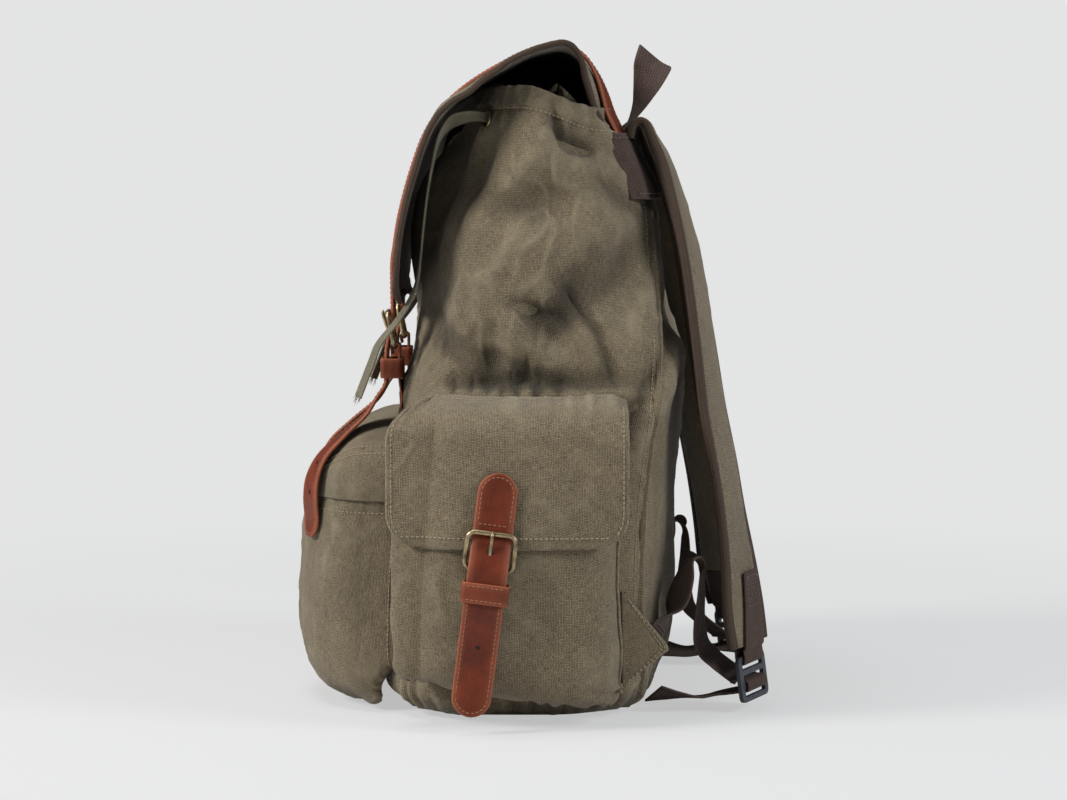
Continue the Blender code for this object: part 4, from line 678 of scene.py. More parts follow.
# The far side of the mouth stands up a little under the lid
stands = 0.0250 * step(0.86, 1.0, ups) * np.exp(-((sack[..., 1] - 0.020) / 0.030) ** 2)
sack[..., 2] += stands * step(0.03, 0.08, -sack[..., 0])
sack[..., 2] = np.maximum(sack[..., 2], 0.0002)
inner_ups = np.concatenate(((0.006, 0.012, 0.024), np.linspace(0.05, 0.94, 30), (0.965, 0.985, 0.997)))
inner_rows = np.array([int(np.argmin(np.abs(UPS - up))) for up in inner_ups])
inner = (sack - normals * BODY_WALL)[inner_rows]
inner[0, :, 2] = np.maximum(inner[0, :, 2], BODY_WALL)
rim = sack[-1] - normals[-1] * BODY_WALL / 2 + np.array((0, 0, 0.0011))


def ringed(points, shares):
    middle = points.mean(axis=0) * (0, 1, 1) + (0, 0, 0)
    return [middle + (points - middle) * share for share in shares]


rings = np.stack(ringed(inner[0], (0.02, 0.5, 0.93)) + list(inner) + [rim] + list(sack[::-1])
                 + ringed(sack[0], (0.97, 0.6, 0.02)))
total, columns = rings.shape[:2]
flat = np.zeros(rings.shape)
flat[..., 0] = AROUND * PERIMETER
run = np.concatenate(([0], np.cumsum(np.linalg.norm(np.diff(rings, axis=0), axis=2).mean(axis=1))))
flat[..., 1] = run[:, None]
# The sack's wear, with its painted crease shade below nothing, goes to the third part of its cloth
flat[3 + len(inner) + 1:3 + len(inner) + 1 + len(sack), :, 2] = wear[::-1]
faces = quads(total, columns) + [tuple(range(columns)), tuple((total - 1) * columns + k for k in range(columns))]
bag = piece("sack", rings, faces, CANVAS, ("bag_body",), flat)


def surface(*made):
    """The faces of finished pieces, to lay other pieces on."""
    points, sides = [], []
    for one in made:
        base = len(points)
        points += [vertex.co.copy() for vertex in one.data.vertices]
        sides += [[base + v for v in face.vertices] for face in one.data.polygons]
    return BVHTree.FromPolygons(points, sides)


def laid(ground, places, way, lift=0.0):
    """Places dropped onto a surface from outside, against the direction way, with the surface's normals."""
    found, faces_up = [], []
    way = Vector(way).normalized()
    for place in places:
        at = Vector(place) + Vector((0, SETTLED, 0))
        hit, normal, index, far = ground.ray_cast(at + way * 0.3, -way)
        if hit is None:
            continue
        if normal.dot(way) < 0:
            normal = -normal
        found.append(np.array(hit) + np.array(normal) * lift - (0, SETTLED, 0))
        faces_up.append(np.array(normal))
    return np.array(found), np.array(faces_up)


def even(line, every):
    """Places every so many metres along a line, after it is smoothed."""
    line = np.asarray(line, float)
    line = np.hstack((line, np.zeros((len(line), 3 - line.shape[1])))) if line.shape[1] < 3 else line
    length = np.sum(np.linalg.norm(np.diff(line[:, :3], axis=0), axis=1))
    return smooth(line, max(int(length / every), 3))


def thread_finish(name, colour, pale):
    """Twisted sewing thread."""
    made = bpy.data.materials.new(name)
    made.use_nodes = True
    tree = made.node_tree
    shader = tree.nodes["Principled BSDF"]
    cloth = put(tree, "Attribute", {"attribute_name": "cloth"}).outputs["Vector"]
    tone = blotches(tree, cloth, 420.0, 2.0)
    tree.links.new(blend_colours(tree, tone, colour, pale), shader.inputs["Base Color"])
    shader.inputs["Roughness"].default_value = 0.75
    parts = put(tree, "SeparateXYZ", i0=cloth).outputs
    twist = maths(tree, "SINE", maths(tree, "MULTIPLY", maths(tree, "ADD", parts[0], parts[1]), 9000.0))
    tree.links.new(put(tree, "Bump", Strength=0.4, Distance=0.0001, Height=twist).outputs[0], shader.inputs["Normal"])
    return made


OLIVE_THREAD = thread_finish("olive thread", (0.150, 0.120, 0.074, 1), (0.340, 0.280, 0.185, 1))
TAN_THREAD = thread_finish("tan thread", (0.180, 0.062, 0.027, 1), (0.350, 0.165, 0.085, 1))
DARK_THREAD = thread_finish("dark thread", (0.045, 0.032, 0.028, 1), (0.150, 0.110, 0.095, 1))


def stitches(name, rows, finish, pitch=0.0032, long=0.0023, thick=0.00090, side=1):
    """Rows of machine stitches as one piece; a row is its places on the cloth and the normals there."""
    ring = np.arange(6) / 6 * 2 * math.pi
    shape = np.array([(x, r * math.cos(a), r * math.sin(a)) for x, r in
                      ((-1.0, 0.35), (-0.72, 0.95), (0.0, 1.1), (0.72, 0.95), (1.0, 0.35)) for a in ring])
    template = np.array(quads(5, 6))
    points, faces, cloth = [], [], []
    for places, normals in rows:
        if len(places) < 3:
            continue
        run = np.concatenate(([0], np.cumsum(np.linalg.norm(np.diff(places, axis=0), axis=1))))
        for at in np.arange(pitch / 2, run[-1] - pitch / 2, pitch):
            ends = [np.array([np.interp(at + d, run, places[:, k]) for k in range(3)]) for d in (-long / 2, long / 2)]
            normal = unit(np.array([np.interp(at, run, normals[:, k]) for k in range(3)]))
            way = unit(ends[1] - ends[0])
            over = unit(np.cross(normal, way))
            base = len(points) * len(shape)
            half = np.linalg.norm(ends[1] - ends[0]) / 2
            middle = (ends[0] + ends[1]) / 2 + normal * thick * 0.18
            points.append(middle + shape[:, :1] * way * half + shape[:, 1:2] * over * thick / 2
                          + shape[:, 2:] * normal * thick / 2)
            cloth.append(shape * (half, thick / 2, 0) + (at * 3, 0, 0))
            faces += (template + base).tolist()
            faces += [list(range(base, base + 6)), list(range(base + 24, base + 30))]
    return piece(name, np.concatenate(points), faces, finish, cloth=np.concatenate(cloth), side=side)


bag_surface = surface(bag)
hem_low = body_ring(HEM_LOW, np.linspace(0, 1, 240))
middle = np.array((0.0, 0.01, 0.0))
rows = []
found, up_normals = [], []
for place in hem_low:
    away = place * (1, 1, 0) - middle
    spot, normal = laid(bag_surface, [place], away)
    if len(spot):
        found.append(spot[0])
        up_normals.append(normal[0])
rows.append((np.array(found), np.array(up_normals)))
stitches("hem_stitches", rows, OLIVE_THREAD)
SIDE_SEAM = ((0.051, 0.366), (0.062, 0.351), (0.068, 0.327), (0.068, 0.287), (0.067, 0.247), (0.065, 0.215),
             (0.058, 0.170), (0.053, 0.128), (0.052, 0.081), (0.054, 0.043), (0.054, 0.012))
for label, side in SIDES:
    line = even([(0.0, y, z) for y, z in SIDE_SEAM], 0.004) * (side, 1, 1)
    places, ups_there = laid(bag_surface, line, (side, 0.12, 0), 0.0002)
    seam = np.hstack((places, np.broadcast_to((0.0, 1.0, 0.12), places.shape)))
    strap("side_seam_" + label, seam * np.array((1, 1, 1, 1, 1, 1)), None, 0.0042, 0.0017, CANVAS,
          count=140, wear=0.0007)
    line[:, 1] -= 0.0045
    stitches("side_seam_stitches_" + label, [laid(bag_surface, line, (side, 0.12, 0))], OLIVE_THREAD)


# Eyelets: rolled brass rings that were pressed through the cloth by the mouth, for the drawstring.
def brass_finish():
    made = bpy.data.materials.new("aged brass")
    made.use_nodes = True
    tree = made.node_tree
    shader = tree.nodes["Principled BSDF"]
    where = put(tree, "TexCoord").outputs["Object"]
    stain = blotches(tree, where, 190.0, 4.0, 0.65)
    spots = put(tree, "MapRange", i0=stain, i1=0.40, i2=0.66, i3=0.0, i4=1.0).outputs[0]
    tree.links.new(blend_colours(tree, spots, (0.420, 0.330, 0.190, 1), (0.130, 0.098, 0.060, 1)),
                   shader.inputs["Base Color"])
    shader.inputs["Metallic"].default_value = 1.0
    dull = put(tree, "MapRange", i0=stain, i1=0.30, i2=0.75, i3=0.26, i4=0.55).outputs[0]
    tree.links.new(dull, shader.inputs["Roughness"])
    pits = blotches(tree, where, 1500.0, 2.0)
    tree.links.new(put(tree, "Bump", Strength=0.25, Distance=0.0002, Height=pits).outputs[0],
                   shader.inputs["Normal"])
    return made


BRASS = brass_finish()


def tube(name, middles, sides, out, radius, finish, stands_for=(), closed=True, count=12, side=1):
    """A round bar along a path; radius may change along it."""
    turn = np.arange(count) / count * 2 * math.pi
    radius = np.broadcast_to(radius, len(middles))[:, None, None]
    points = middles[:, None] + (np.cos(turn)[:, None] * sides[:, None]
                                 - np.sin(turn)[:, None] * out[:, None]) * radius
    rows, faces = len(middles), quads(len(middles), count)
    if closed:
        faces += [[(rows - 1) * count + k, (rows - 1) * count + (k + 1) % count, (k + 1) % count, k]
                  for k in range(count)]
    else:
        faces += [tuple(range(count)), tuple((rows - 1) * count + k for k in range(count))]
    return piece(name, points, faces, finish, stands_for, side=side)


EYELET_PROFILE = ((0.0036, -0.0026), (0.0044, -0.0028), (0.0050, -0.0006), (0.0060, 0.0000), (0.0068, 0.0006),
                  (0.0067, 0.0012), (0.0062, 0.0016), (0.0054, 0.0018), (0.0046, 0.0016), (0.0039, 0.0008),
                  (0.0036, -0.0004))
for label, side in SIDES:
    middle, round_way, up_way, out = body_spot(EYELET_AROUND, EYELET_UP)
    spokes = [round_way * math.cos(t) + up_way * math.sin(t) for t in np.arange(40) / 40 * 2 * math.pi]
    points = np.array([[middle + spoke * r + out * (n + 0.0004) for r, n in EYELET_PROFILE] for spoke in spokes])
    size = len(EYELET_PROFILE)
    faces = quads(40, size) + [[39 * size + k, 39 * size + (k + 1) % size, (k + 1) % size, k] for k in range(size)]
    piece("eyelet_ring_" + label, points, faces, BRASS, ("eyelet_" + label,), side=side)


# Front pocket: a patch of the same canvas, gathered into a box over the front of the sack and hemmed at
# its mouth. Its flap is sewn to the sack above it and hangs over the mouth.
POCKET_WALL = 0.0018
POCKET_SEAT = 0.0010
GAP = 0.0004
FRONT_POCKET_WIDTH = 0.226
FRONT_POCKET_HEIGHT = 0.146
FRONT_POCKET_DEPTH = 0.062
FRONT_FLAP_RISE = 0.192
FRONT_FLAP_HEM = 0.139
FRONT_SEAT_LOW = 0.0175
FRONT_POCKET_ROWS = (
    (0.165, 0.010), (0.080, 0.280), (0.024, 0.560), (0.045, 0.740), (0.120, 0.860), (0.280, 0.930),
    (0.460, 0.965), (0.620, 0.975), (0.760, 0.960), (0.900, 0.920), (1.000, 0.890),
)
FRONT_FLAP_LINE = ((0.00, 1.000), (0.25, 0.960), (0.55, 0.800), (0.75, 0.560), (0.90, 0.380), (1.00, 0.250))
FLAP_GROW = POCKET_WALL + GAP * 2


def body_front(x, z):
    middle, deep, half, square = section_at(z / BODY_HEIGHT)
    return middle - deep * np.clip(1 - np.abs(x / half) ** square, 0.0, 1.0) ** (1 / square)


def plan_turn(count):
    """Angles round a pocket's plan outline, with more of them at its corners."""
    t = np.linspace(0, math.pi, count)
    return t - 0.12 * np.sin(4 * t)


def rising(ups, least):
    rise = [min(ups)]
    for up in ups[1:]:
        rise.append(max(up, rise[-1] + least))
    return rise


def panel(name, grid, thick, finish, stands_for=(), heights=None, side=1, hem=0.0, hem_rows=()):
    """A sheet of sewn cloth with round edges: grid is its outer face, raised by heights."""
    rows, columns = grid.shape[:2]
    normals = grid_normals(grid, False)
    wear = np.zeros((rows, columns))
    inner = grid - normals * thick
    if heights is not None:
        wear = rubbed(heights)
        inner = inner + normals * heights[..., None] * 0.85
        grid = grid + normals * heights[..., None]
    u = np.concatenate((np.zeros((rows, 1)), np.cumsum(np.linalg.norm(np.diff(grid, axis=1), axis=2), axis=1)), axis=1)
    u = u - u[:, columns // 2:columns // 2 + 1]
    v = np.concatenate((np.zeros((1, columns)), np.cumsum(np.linalg.norm(np.diff(grid, axis=0), axis=2), axis=0)))
    edge = np.zeros((rows, columns))
    for k in (0, -1):
        edge[k] = edge[:, k] = 1.0
    wear = np.maximum(wear, edge)
    away = np.zeros(grid.shape)
    away[0] += unit(grid[0] - grid[1])
    away[-1] += unit(grid[-1] - grid[-2])
    away[:, 0] += unit(grid[:, 0] - grid[:, 1])
    away[:, -1] += unit(grid[:, -1] - grid[:, -2])
    loop = [(0, c) for c in range(columns)] + [(r, columns - 1) for r in range(1, rows)]
    loop += [(rows - 1, c) for c in range(columns - 2, -1, -1)] + [(r, 0) for r in range(rows - 2, 0, -1)]
    at = tuple(np.array(loop).T)
    middle = (grid[at] + inner[at]) / 2 + unit(away[at]) * thick * 0.40
    size = rows * columns
    points = np.vstack((grid.reshape(-1, 3), inner.reshape(-1, 3), middle))
    flat = np.stack((u, v, wear), axis=-1).reshape(-1, 3)
    cloth = np.vstack((flat, flat * (1, 1, 0), flat.reshape(rows, columns, 3)[at]))
    front = np.array(quads(rows, columns, wrap=False))
    faces = front.tolist() + (front[:, ::-1] + size).tolist()
    order = [r * columns + c for r, c in loop]
    for k in range(len(loop)):
        n = (k + 1) % len(loop)
        faces.append([order[k], 2 * size + k, 2 * size + n, order[n]])
        faces.append([2 * size + k, size + order[k], size + order[n], 2 * size + n])
    made = piece(name, points, faces, finish, stands_for, cloth, side=side)
    return made, grid, grid_normals(grid, False)


def inside_row(grid, normals, row, first=0, last=None):
    """A line of places along one row of a panel, for stitches."""
    return grid[row, first:last], normals[row, first:last]


square = 2 / 2.5
turn = plan_turn(170)
profile = smooth([(0.0, out, up) for up, out in FRONT_POCKET_ROWS], 84, 0.02)[:, 1:]
grid = []
for (out, up), edge in zip(profile, rising(profile[:, 1], 0.0016)):
    half = FRONT_POCKET_WIDTH / 2 * (1 - 0.10 * (1 - out) ** 1.5)
    x = half * np.sign(np.cos(turn)) * np.abs(np.cos(turn)) ** square
    z = (edge + (up - edge) * step(0.0, 0.5, np.abs(np.sin(turn)))) * FRONT_POCKET_HEIGHT
    z = z + 0.0115 * (1 - step(0.0, 0.25, edge)) * np.abs(np.cos(turn)) ** 3
    seat = body_front(x, np.maximum(z, 0.006)) - POCKET_SEAT * 0.3
    grid.append(np.stack((x, seat - out * FRONT_POCKET_DEPTH * np.abs(np.sin(turn)) ** square, z), axis=-1))
grid = np.stack(grid)[:, ::-1]
sag = crumple(grid, 0.0030, 0.0016, 11)
seam_puckers = 0.0007 * np.sin(np.arange(170)[None] * 0.9 + 2.4 * np.sin(np.arange(170)[None] * 0.21))
low_share = np.linspace(0, 1, 84)[:, None]
sag += seam_puckers * np.exp(-((low_share - 0.30) / 0.09) ** 2)
sag += seam_puckers * 0.5 * step(0.93, 1.0, low_share)
sides_fade = step(0.0, 0.10, np.linspace(0, 1, 170)) * step(0.0, 0.10, np.linspace(1, 0, 170))
sag *= (sides_fade * 0.85 + 0.15)[None] * step(0.0, 0.12, low_share)
pocket, grid, normals = panel("front_pocket_cloth", grid, POCKET_WALL, CANVAS, ("front_pocket",), sag)
rows = [inside_row(grid, normals, -6, 4, -4)]
for column in (4, -5):
    rows.append((grid[22:, column], normals[22:, column]))
stitches("front_pocket_stitches", rows, OLIVE_THREAD)

turn = plan_turn(170)
shares = 1 - (1 - np.linspace(0.0, 1.0, 64)) ** 1.35
shares = 0.04 + 0.96 * shares
tall = FRONT_FLAP_RISE - FRONT_FLAP_HEM
grid = []
for share in shares:
    x = share * (FRONT_POCKET_WIDTH / 2 + FLAP_GROW) * np.sign(np.cos(turn)) * np.abs(np.cos(turn)) ** 0.8
    reach = share * np.abs(np.sin(turn)) ** 0.8
    wide = np.abs(x) / (FRONT_POCKET_WIDTH / 2 + FLAP_GROW)
    out = np.clip(wide**2.5 + reach**2.5, 0, 1) ** 0.4
    edge = (1 - out**7) ** (1 / 7)
    z = FRONT_FLAP_HEM + tall * edge * (read(FRONT_FLAP_LINE, 1, reach) - 0.30 * wide**2 * (1 - reach))
    deep = POCKET_SEAT + FRONT_POCKET_DEPTH * 0.925 + GAP
    y = body_front(x, z) - GAP * 0.3 - POCKET_WALL * 0.5 - deep * reach
    grid.append(np.stack((x, y, z), axis=-1))
grid = np.stack(grid)
sag = crumple(grid, 0.0020, 0.0013, 17)
tail_lines = np.exp(-((np.abs(grid[..., 0]) - 0.074) / 0.020) ** 4)
sag *= (1 - 0.85 * tail_lines) * (0.15 + 0.85 * sides_fade[None]) * step(0.0, 0.2, np.linspace(0, 1, 64))[:, None]
flap, grid, normals = panel("front_flap_cloth", grid, POCKET_WALL, CANVAS, ("front_pocket_flap",), sag)
rows = [inside_row(grid, normals, -5, 3, -3), inside_row(grid, normals, -9, 6, -6)]
stitches("front_flap_stitches", rows, OLIVE_THREAD)


# Side pockets: patches of canvas over both sides of the sack, each with a flap that is sewn on above it
# and hangs over its mouth, with two rows of stitches along the hem.
SIDE_POCKET_WIDTH = 0.146
SIDE_POCKET_MIDDLE = -0.020
SIDE_POCKET_FOOT = 0.012
SIDE_POCKET_TOP = 0.180
SIDE_POCKET_DEPTH = 0.038
SIDE_POCKET_TILT = 0.016
SIDE_SEAT = 0.72
SIDE_SEAT_LOW = 0.020
SIDE_FLAP_WIDTH = 0.151
SIDE_FLAP_MIDDLE = -0.0165
SIDE_FLAP_TOP = 0.209
SIDE_FLAP_HEM = 0.116
SIDE_FLAP_CORNER = 0.022
SIDE_POCKET_ROWS = (
    (0.020, 0.010), (0.000, 0.400), (0.020, 0.740), (0.090, 0.930), (0.250, 1.000), (0.450, 1.020),
    (0.650, 1.010), (0.850, 0.980), (1.000, 0.950),
)


def side_seat(y, z):
    """Where a side pocket is sewn on: the side of the sack, short of its round corners."""
    middle, deep, half, square = section_at(z / BODY_HEIGHT)
    share = np.clip((y - middle) / deep, -SIDE_SEAT, SIDE_SEAT)
    return middle + deep * share, half * (1 - np.abs(share) ** square) ** (1 / square)


def side_face(y, z):
    up = (z - SIDE_POCKET_FOOT) / (SIDE_POCKET_TOP - SIDE_POCKET_FOOT)
    out = read(SIDE_POCKET_ROWS[1:], 1, up)
    share = np.clip(np.abs(y - SIDE_POCKET_MIDDLE) / (SIDE_POCKET_WIDTH / 2), 0, 1)
    return side_seat(y, z)[1] + POCKET_SEAT + out * SIDE_POCKET_DEPTH * (1 - share**4.6) ** (1 / 4.6)


def flap_face(y, z):
    near = SIDE_POCKET_WIDTH * 0.34
    y = np.clip(y, SIDE_POCKET_MIDDLE - near, SIDE_POCKET_MIDDLE + near)
    return side_face(y, z) + GAP * 3 + POCKET_WALL


def side_pocket_grid(rows, columns):
    turn = plan_turn(columns)
    reach = np.abs(np.sin(turn)) ** (2 / 4.6)
    profile = smooth([(0.0, out, up) for up, out in SIDE_POCKET_ROWS], rows, 0.02)[:, 1:]
    grid = []
    for (out, up), edge in zip(profile, rising(profile[:, 1], 0.0016)):
        y = SIDE_POCKET_MIDDLE - SIDE_POCKET_WIDTH / 2 * np.sign(np.cos(turn)) * np.abs(np.cos(turn)) ** (2 / 4.6)
        up = edge + (up - edge) * step(0.0, 0.5, np.abs(np.sin(turn)))
        lift = SIDE_POCKET_TILT * (1 - step(0.0, 0.5, up))
        lift = lift * (1 - step(-1, 1, (y - SIDE_POCKET_MIDDLE) / (SIDE_POCKET_WIDTH / 2)))
        z = SIDE_POCKET_FOOT + up * (SIDE_POCKET_TOP - SIDE_POCKET_FOOT) + lift
        seat_y, seat_x = side_seat(y, np.maximum(z, SIDE_SEAT_LOW))
        spread = step(0.0, 0.75, out * reach)
        grid.append(np.stack((seat_x + out * SIDE_POCKET_DEPTH * reach, seat_y * (1 - spread) + y * spread, z),
                             axis=-1))
    return np.stack(grid)


def side_flap_grid():
    bend = SIDE_POCKET_TOP + 0.003
    half = SIDE_FLAP_WIDTH / 2
    rises = np.concatenate(((0.0, 0.0006, 0.0015, 0.003, 0.005, 0.007), np.linspace(0.009, bend - SIDE_FLAP_HEM, 44)))
    columns = np.sin(np.linspace(-1, 1, 120) * 1.3) / math.sin(1.3)
    rows = []
    for rise in rises:
        left = min(rise, SIDE_FLAP_CORNER)
        reach = half - SIDE_FLAP_CORNER + math.sqrt(SIDE_FLAP_CORNER**2 - (SIDE_FLAP_CORNER - left) ** 2)
        y = SIDE_FLAP_MIDDLE + columns * reach
        z = np.full_like(y, SIDE_FLAP_HEM + rise)
        rows.append(np.stack((flap_face(y, z), y, z), axis=-1))
    y = SIDE_FLAP_MIDDLE + columns * half
    outer = flap_face(y, np.full_like(y, bend))
    inner_y, inner = side_seat(y, SIDE_FLAP_TOP)
    for turn in np.linspace(0, 90, 26)[1:]:
        back = 1 - max(math.cos(math.radians(turn)), 0.0) ** 0.8
        x = outer * (1 - back) + inner * back
        z = bend + (SIDE_FLAP_TOP - bend) * math.sin(math.radians(turn)) * (1 - 0.13 * np.abs(columns) ** 11)
        rows.append(np.stack((x, y * (1 - back) + inner_y * back, z), axis=-1))
    return np.stack(rows)


side_pieces = {}
for label, side in SIDES:
    grid = side_pocket_grid(90, 150)
    sag = crumple(grid, 0.0026, 0.0014, 21 + side)
    low_share = np.linspace(0, 1, 90)[:, None]
    across_share = np.linspace(0, 1, 150)[None]
    gathers = np.sin(across_share * 95 + 2.6 * np.sin(across_share * 23))
    sag += 0.0013 * gathers * np.exp(-((low_share - 0.26) / 0.07) ** 2)
    corner = 0.0026 * np.cos(low_share * 44 + across_share * 26)
    sag += corner * np.exp(-((low_share - 0.40) / 0.13) ** 2 - ((across_share - 0.10) / 0.09) ** 2)
    sag += corner * np.exp(-((low_share - 0.38) / 0.12) ** 2 - ((across_share - 0.90) / 0.09) ** 2)
    fade = step(0.0, 0.09, across_share) * step(0.0, 0.09, 1 - across_share)
    sag *= (0.1 + 0.9 * fade) * step(0.0, 0.12, low_share) * (1 - 0.8 * step(0.80, 0.95, low_share))
    made, grid, normals = panel("side_pocket_cloth_" + label, grid, POCKET_WALL, CANVAS,
                                ("side_pocket_" + label,), sag, side)
    rows = [(grid[6:, column], normals[6:, column]) for column in (7, -8)]
    stitches("side_pocket_stitches_" + label, rows, OLIVE_THREAD, side=side)
    for word, column in (("front", 12), ("back", -13)):
        line, way = grid[4:, column], normals[4:, column]
        welt = np.hstack((line + way * 0.0008, np.gradient(grid, axis=1)[4:, column]))
        strap("side_pocket_welt_%s_%s" % (word, label), welt, None, 0.0030, 0.0022, CANVAS, count=120,
              side=side, wear=0.0009)

    grid = side_flap_grid()
    rows_count, columns_count = grid.shape[:2]
    sag = crumple(grid, 0.0016, 0.0009, 31 + side)
    middle_y = -0.0205 - (0.164 - grid[..., 2]) * math.tan(math.radians(7.4))
    strap_lies = np.exp(-((grid[..., 1] - middle_y) / 0.019) ** 4) * (grid[..., 2] < 0.172)
    up_share = np.linspace(0, 1, rows_count)[:, None]
    across_share = np.linspace(0, 1, columns_count)[None]
    hem_gathers = 0.0002 * np.sin(across_share * 120 + 3 * np.sin(across_share * 17)) * np.exp(-(up_share / 0.05) ** 2)
    top_gathers = 0.0011 * np.sin(across_share * 47 + 4 * np.sin(across_share * 9)) * step(0.70, 0.92, up_share)
    sag = (sag + hem_gathers + top_gathers * (1 - step(0.97, 1.0, up_share))) * (1 - 0.92 * strap_lies)
    made, grid, normals = panel("side_flap_cloth_" + label, grid, POCKET_WALL, CANVAS,
                                ("side_flap_" + label,), sag, side)
    rows = [inside_row(grid, normals, 5, 5, -5), inside_row(grid, normals, -4, 3, -3)]
    for column in (5, -6):
        rows.append((grid[6:-8, column], normals[6:-8, column]))
    stitches("side_flap_stitches_" + label, rows, OLIVE_THREAD, side=side)


# Side straps: a leather strap with round ends, sewn to the flap at its top. It runs through a wire buckle
# and a keeper, and its tail hangs free. A thinner base strap on the pocket holds the buckle by its heel bar.
LEATHER_WIDTH = 0.025
LEATHER_THICK = 0.0024
BASE_THICK = 0.0014
BASE_WIDTH = 0.0200
STRAP_EASE = 0.0006
WIRE = 0.0032
BUCKLE_PLAY = 0.0010
BUCKLE_TALL = 0.0265
PRONG_WIDE = 0.0026
KEEPER_TALL = 0.0130
KEEPER_THICK = 0.0016
SIDE_STRAP_LEAN = math.radians(7.4)
SIDE_STRAP_TOP = (-0.0205, 0.164)
SIDE_STRAP_LONG = 0.154
SIDE_BUCKLE_DOWN = 0.0375
ACROSS_SIDE = np.array((0.0, math.cos(SIDE_STRAP_LEAN), -math.sin(SIDE_STRAP_LEAN)))
DOWN_SIDE = np.array((0.0, -math.sin(SIDE_STRAP_LEAN), -math.cos(SIDE_STRAP_LEAN)))
OUT_X = np.array((1.0, 0.0, 0.0))

# Oiled leather: fine grain, darker and lighter pulls, pale scuffs, and edges where the dye has worn
grain, given, gives = group("leather grain", (("Hide", "Vector", None), ("Edge", "Float", 0.0)),
                            (("Height", "Float"), ("Tone", "Float"), ("Scuff", "Float")))
cells = put(grain, "TexVoronoi", {"feature": "DISTANCE_TO_EDGE"}, Vector=given["Hide"], Scale=1150.0).outputs[0]
creased = put(grain, "MapRange", i0=cells, i1=0.0, i2=0.22, i3=0.0, i4=1.0).outputs[0]
fine = blotches(grain, given["Hide"], 2600.0, 2.0)
grain.links.new(maths(grain, "ADD", maths(grain, "MULTIPLY", creased, 0.6), maths(grain, "MULTIPLY", fine, 0.5)),
                gives["Height"])
pulled = blotches(grain, given["Hide"], 48.0, 5.0, 0.62)
grain.links.new(pulled, gives["Tone"])
long_way = put(grain, "VectorMath", {"operation": "MULTIPLY"}, i0=given["Hide"], i1=(1.0, 0.22, 1.0)).outputs[0]
scratch = blotches(grain, long_way, 420.0, 4.0, 0.7)
scratch = put(grain, "MapRange", i0=scratch, i1=0.60, i2=0.74, i3=0.0, i4=0.7).outputs[0]
worn = maths(grain, "MULTIPLY", given["Edge"], put(grain, "MapRange", i0=fine, i1=0.30, i2=0.62, i3=0.35,
                                                   i4=1.0).outputs[0])
grain.links.new(maths(grain, "MAXIMUM", maths(grain, "MULTIPLY", scratch, pulled), worn), gives["Scuff"])


def leather_finish(name, dark, light, scuffed):
    made = bpy.data.materials.new(name)
    made.use_nodes = True
    tree = made.node_tree
    shader = tree.nodes["Principled BSDF"]
    hide = put(tree, "Attribute", {"attribute_name": "cloth"}).outputs["Vector"]
    edge = put(tree, "SeparateXYZ", i0=hide).outputs[2]
    hide = put(tree, "VectorMath", {"operation": "MULTIPLY"}, i0=hide, i1=(1.0, 1.0, 0.0)).outputs[0]
    skin = put(tree, "Group", {"node_tree": grain}, Hide=hide, Edge=edge).outputs
    share = put(tree, "MapRange", i0=skin["Tone"], i1=0.30, i2=0.70, i3=0.0, i4=1.0).outputs[0]
    colour = blend_colours(tree, share, dark, light)
    colour = blend_colours(tree, skin["Scuff"], colour, scuffed)
    tree.links.new(colour, shader.inputs["Base Color"])
    gloss = put(tree, "MapRange", i0=skin["Tone"], i1=0.25, i2=0.75, i3=0.40, i4=0.58).outputs[0]
    tree.links.new(gloss, shader.inputs["Roughness"])
    shader.inputs["Specular IOR Level"].default_value = 0.24
    raised = put(tree, "Bump", Strength=0.35, Distance=0.00025, Height=skin["Height"])
    tree.links.new(raised.outputs[0], shader.inputs["Normal"])
    return made


LEATHER = leather_finish("oiled brown leather", (0.060, 0.0090, 0.0025, 1), (0.158, 0.0250, 0.0062, 1),
                         (0.330, 0.105, 0.052, 1))
# Nearly black leather that paints the shade inside punched holes and slots
PAINTED_HOLE_SHADE = leather_finish("painted shade of punched holes", (0.012, 0.006, 0.004, 1), (0.020, 0.009, 0.006, 1),
                        (0.030, 0.014, 0.009, 1))


def loop_path(half_wide, half_tall, corner, per_corner):
    """A closed rounded rectangle, as rows of (across, along)."""
    rows = []
    for k, (x, y) in enumerate(((1, 1), (-1, 1), (-1, -1), (1, -1))):
        for t in np.linspace(0, 1, per_corner):
            angle = math.pi / 2 * (k + t)
            rows.append((x * (half_wide - corner) + corner * math.cos(angle),
                         y * (half_tall - corner) + corner * math.sin(angle)))
    return np.array(rows)


def strap_line(line, begin, end, offset, lift=0.0):
    """Places along the outer face of a strap, offset across it, with the directions out of it."""
    run = np.linspace(begin, end, max(int(abs(end - begin) / 0.0008), 4))
    at = lambda values: np.column_stack([np.interp(run, line["run"], values[:, k]) for k in range(3)])
    thick = np.interp(run, line["run"], line["thick"])[:, None]
    offset = np.broadcast_to(offset, run.shape)[:, None]
    return at(line["path"]) + at(line["sides"]) * offset + at(line["out"]) * (thick / 2 + lift), at(line["out"])


def strap_row(line, run, low, high):
    """Places straight across the outer face of a strap."""
    offsets = np.linspace(low, high, 24)
    at = lambda values: np.array([np.interp(run, line["run"], values[:, k]) for k in range(3)])
    thick = np.interp(run, line["run"], line["thick"])
    places = at(line["path"]) + at(line["sides"]) * offsets[:, None] + at(line["out"]) * thick / 2
    return places, np.broadcast_to(at(line["out"]), places.shape)


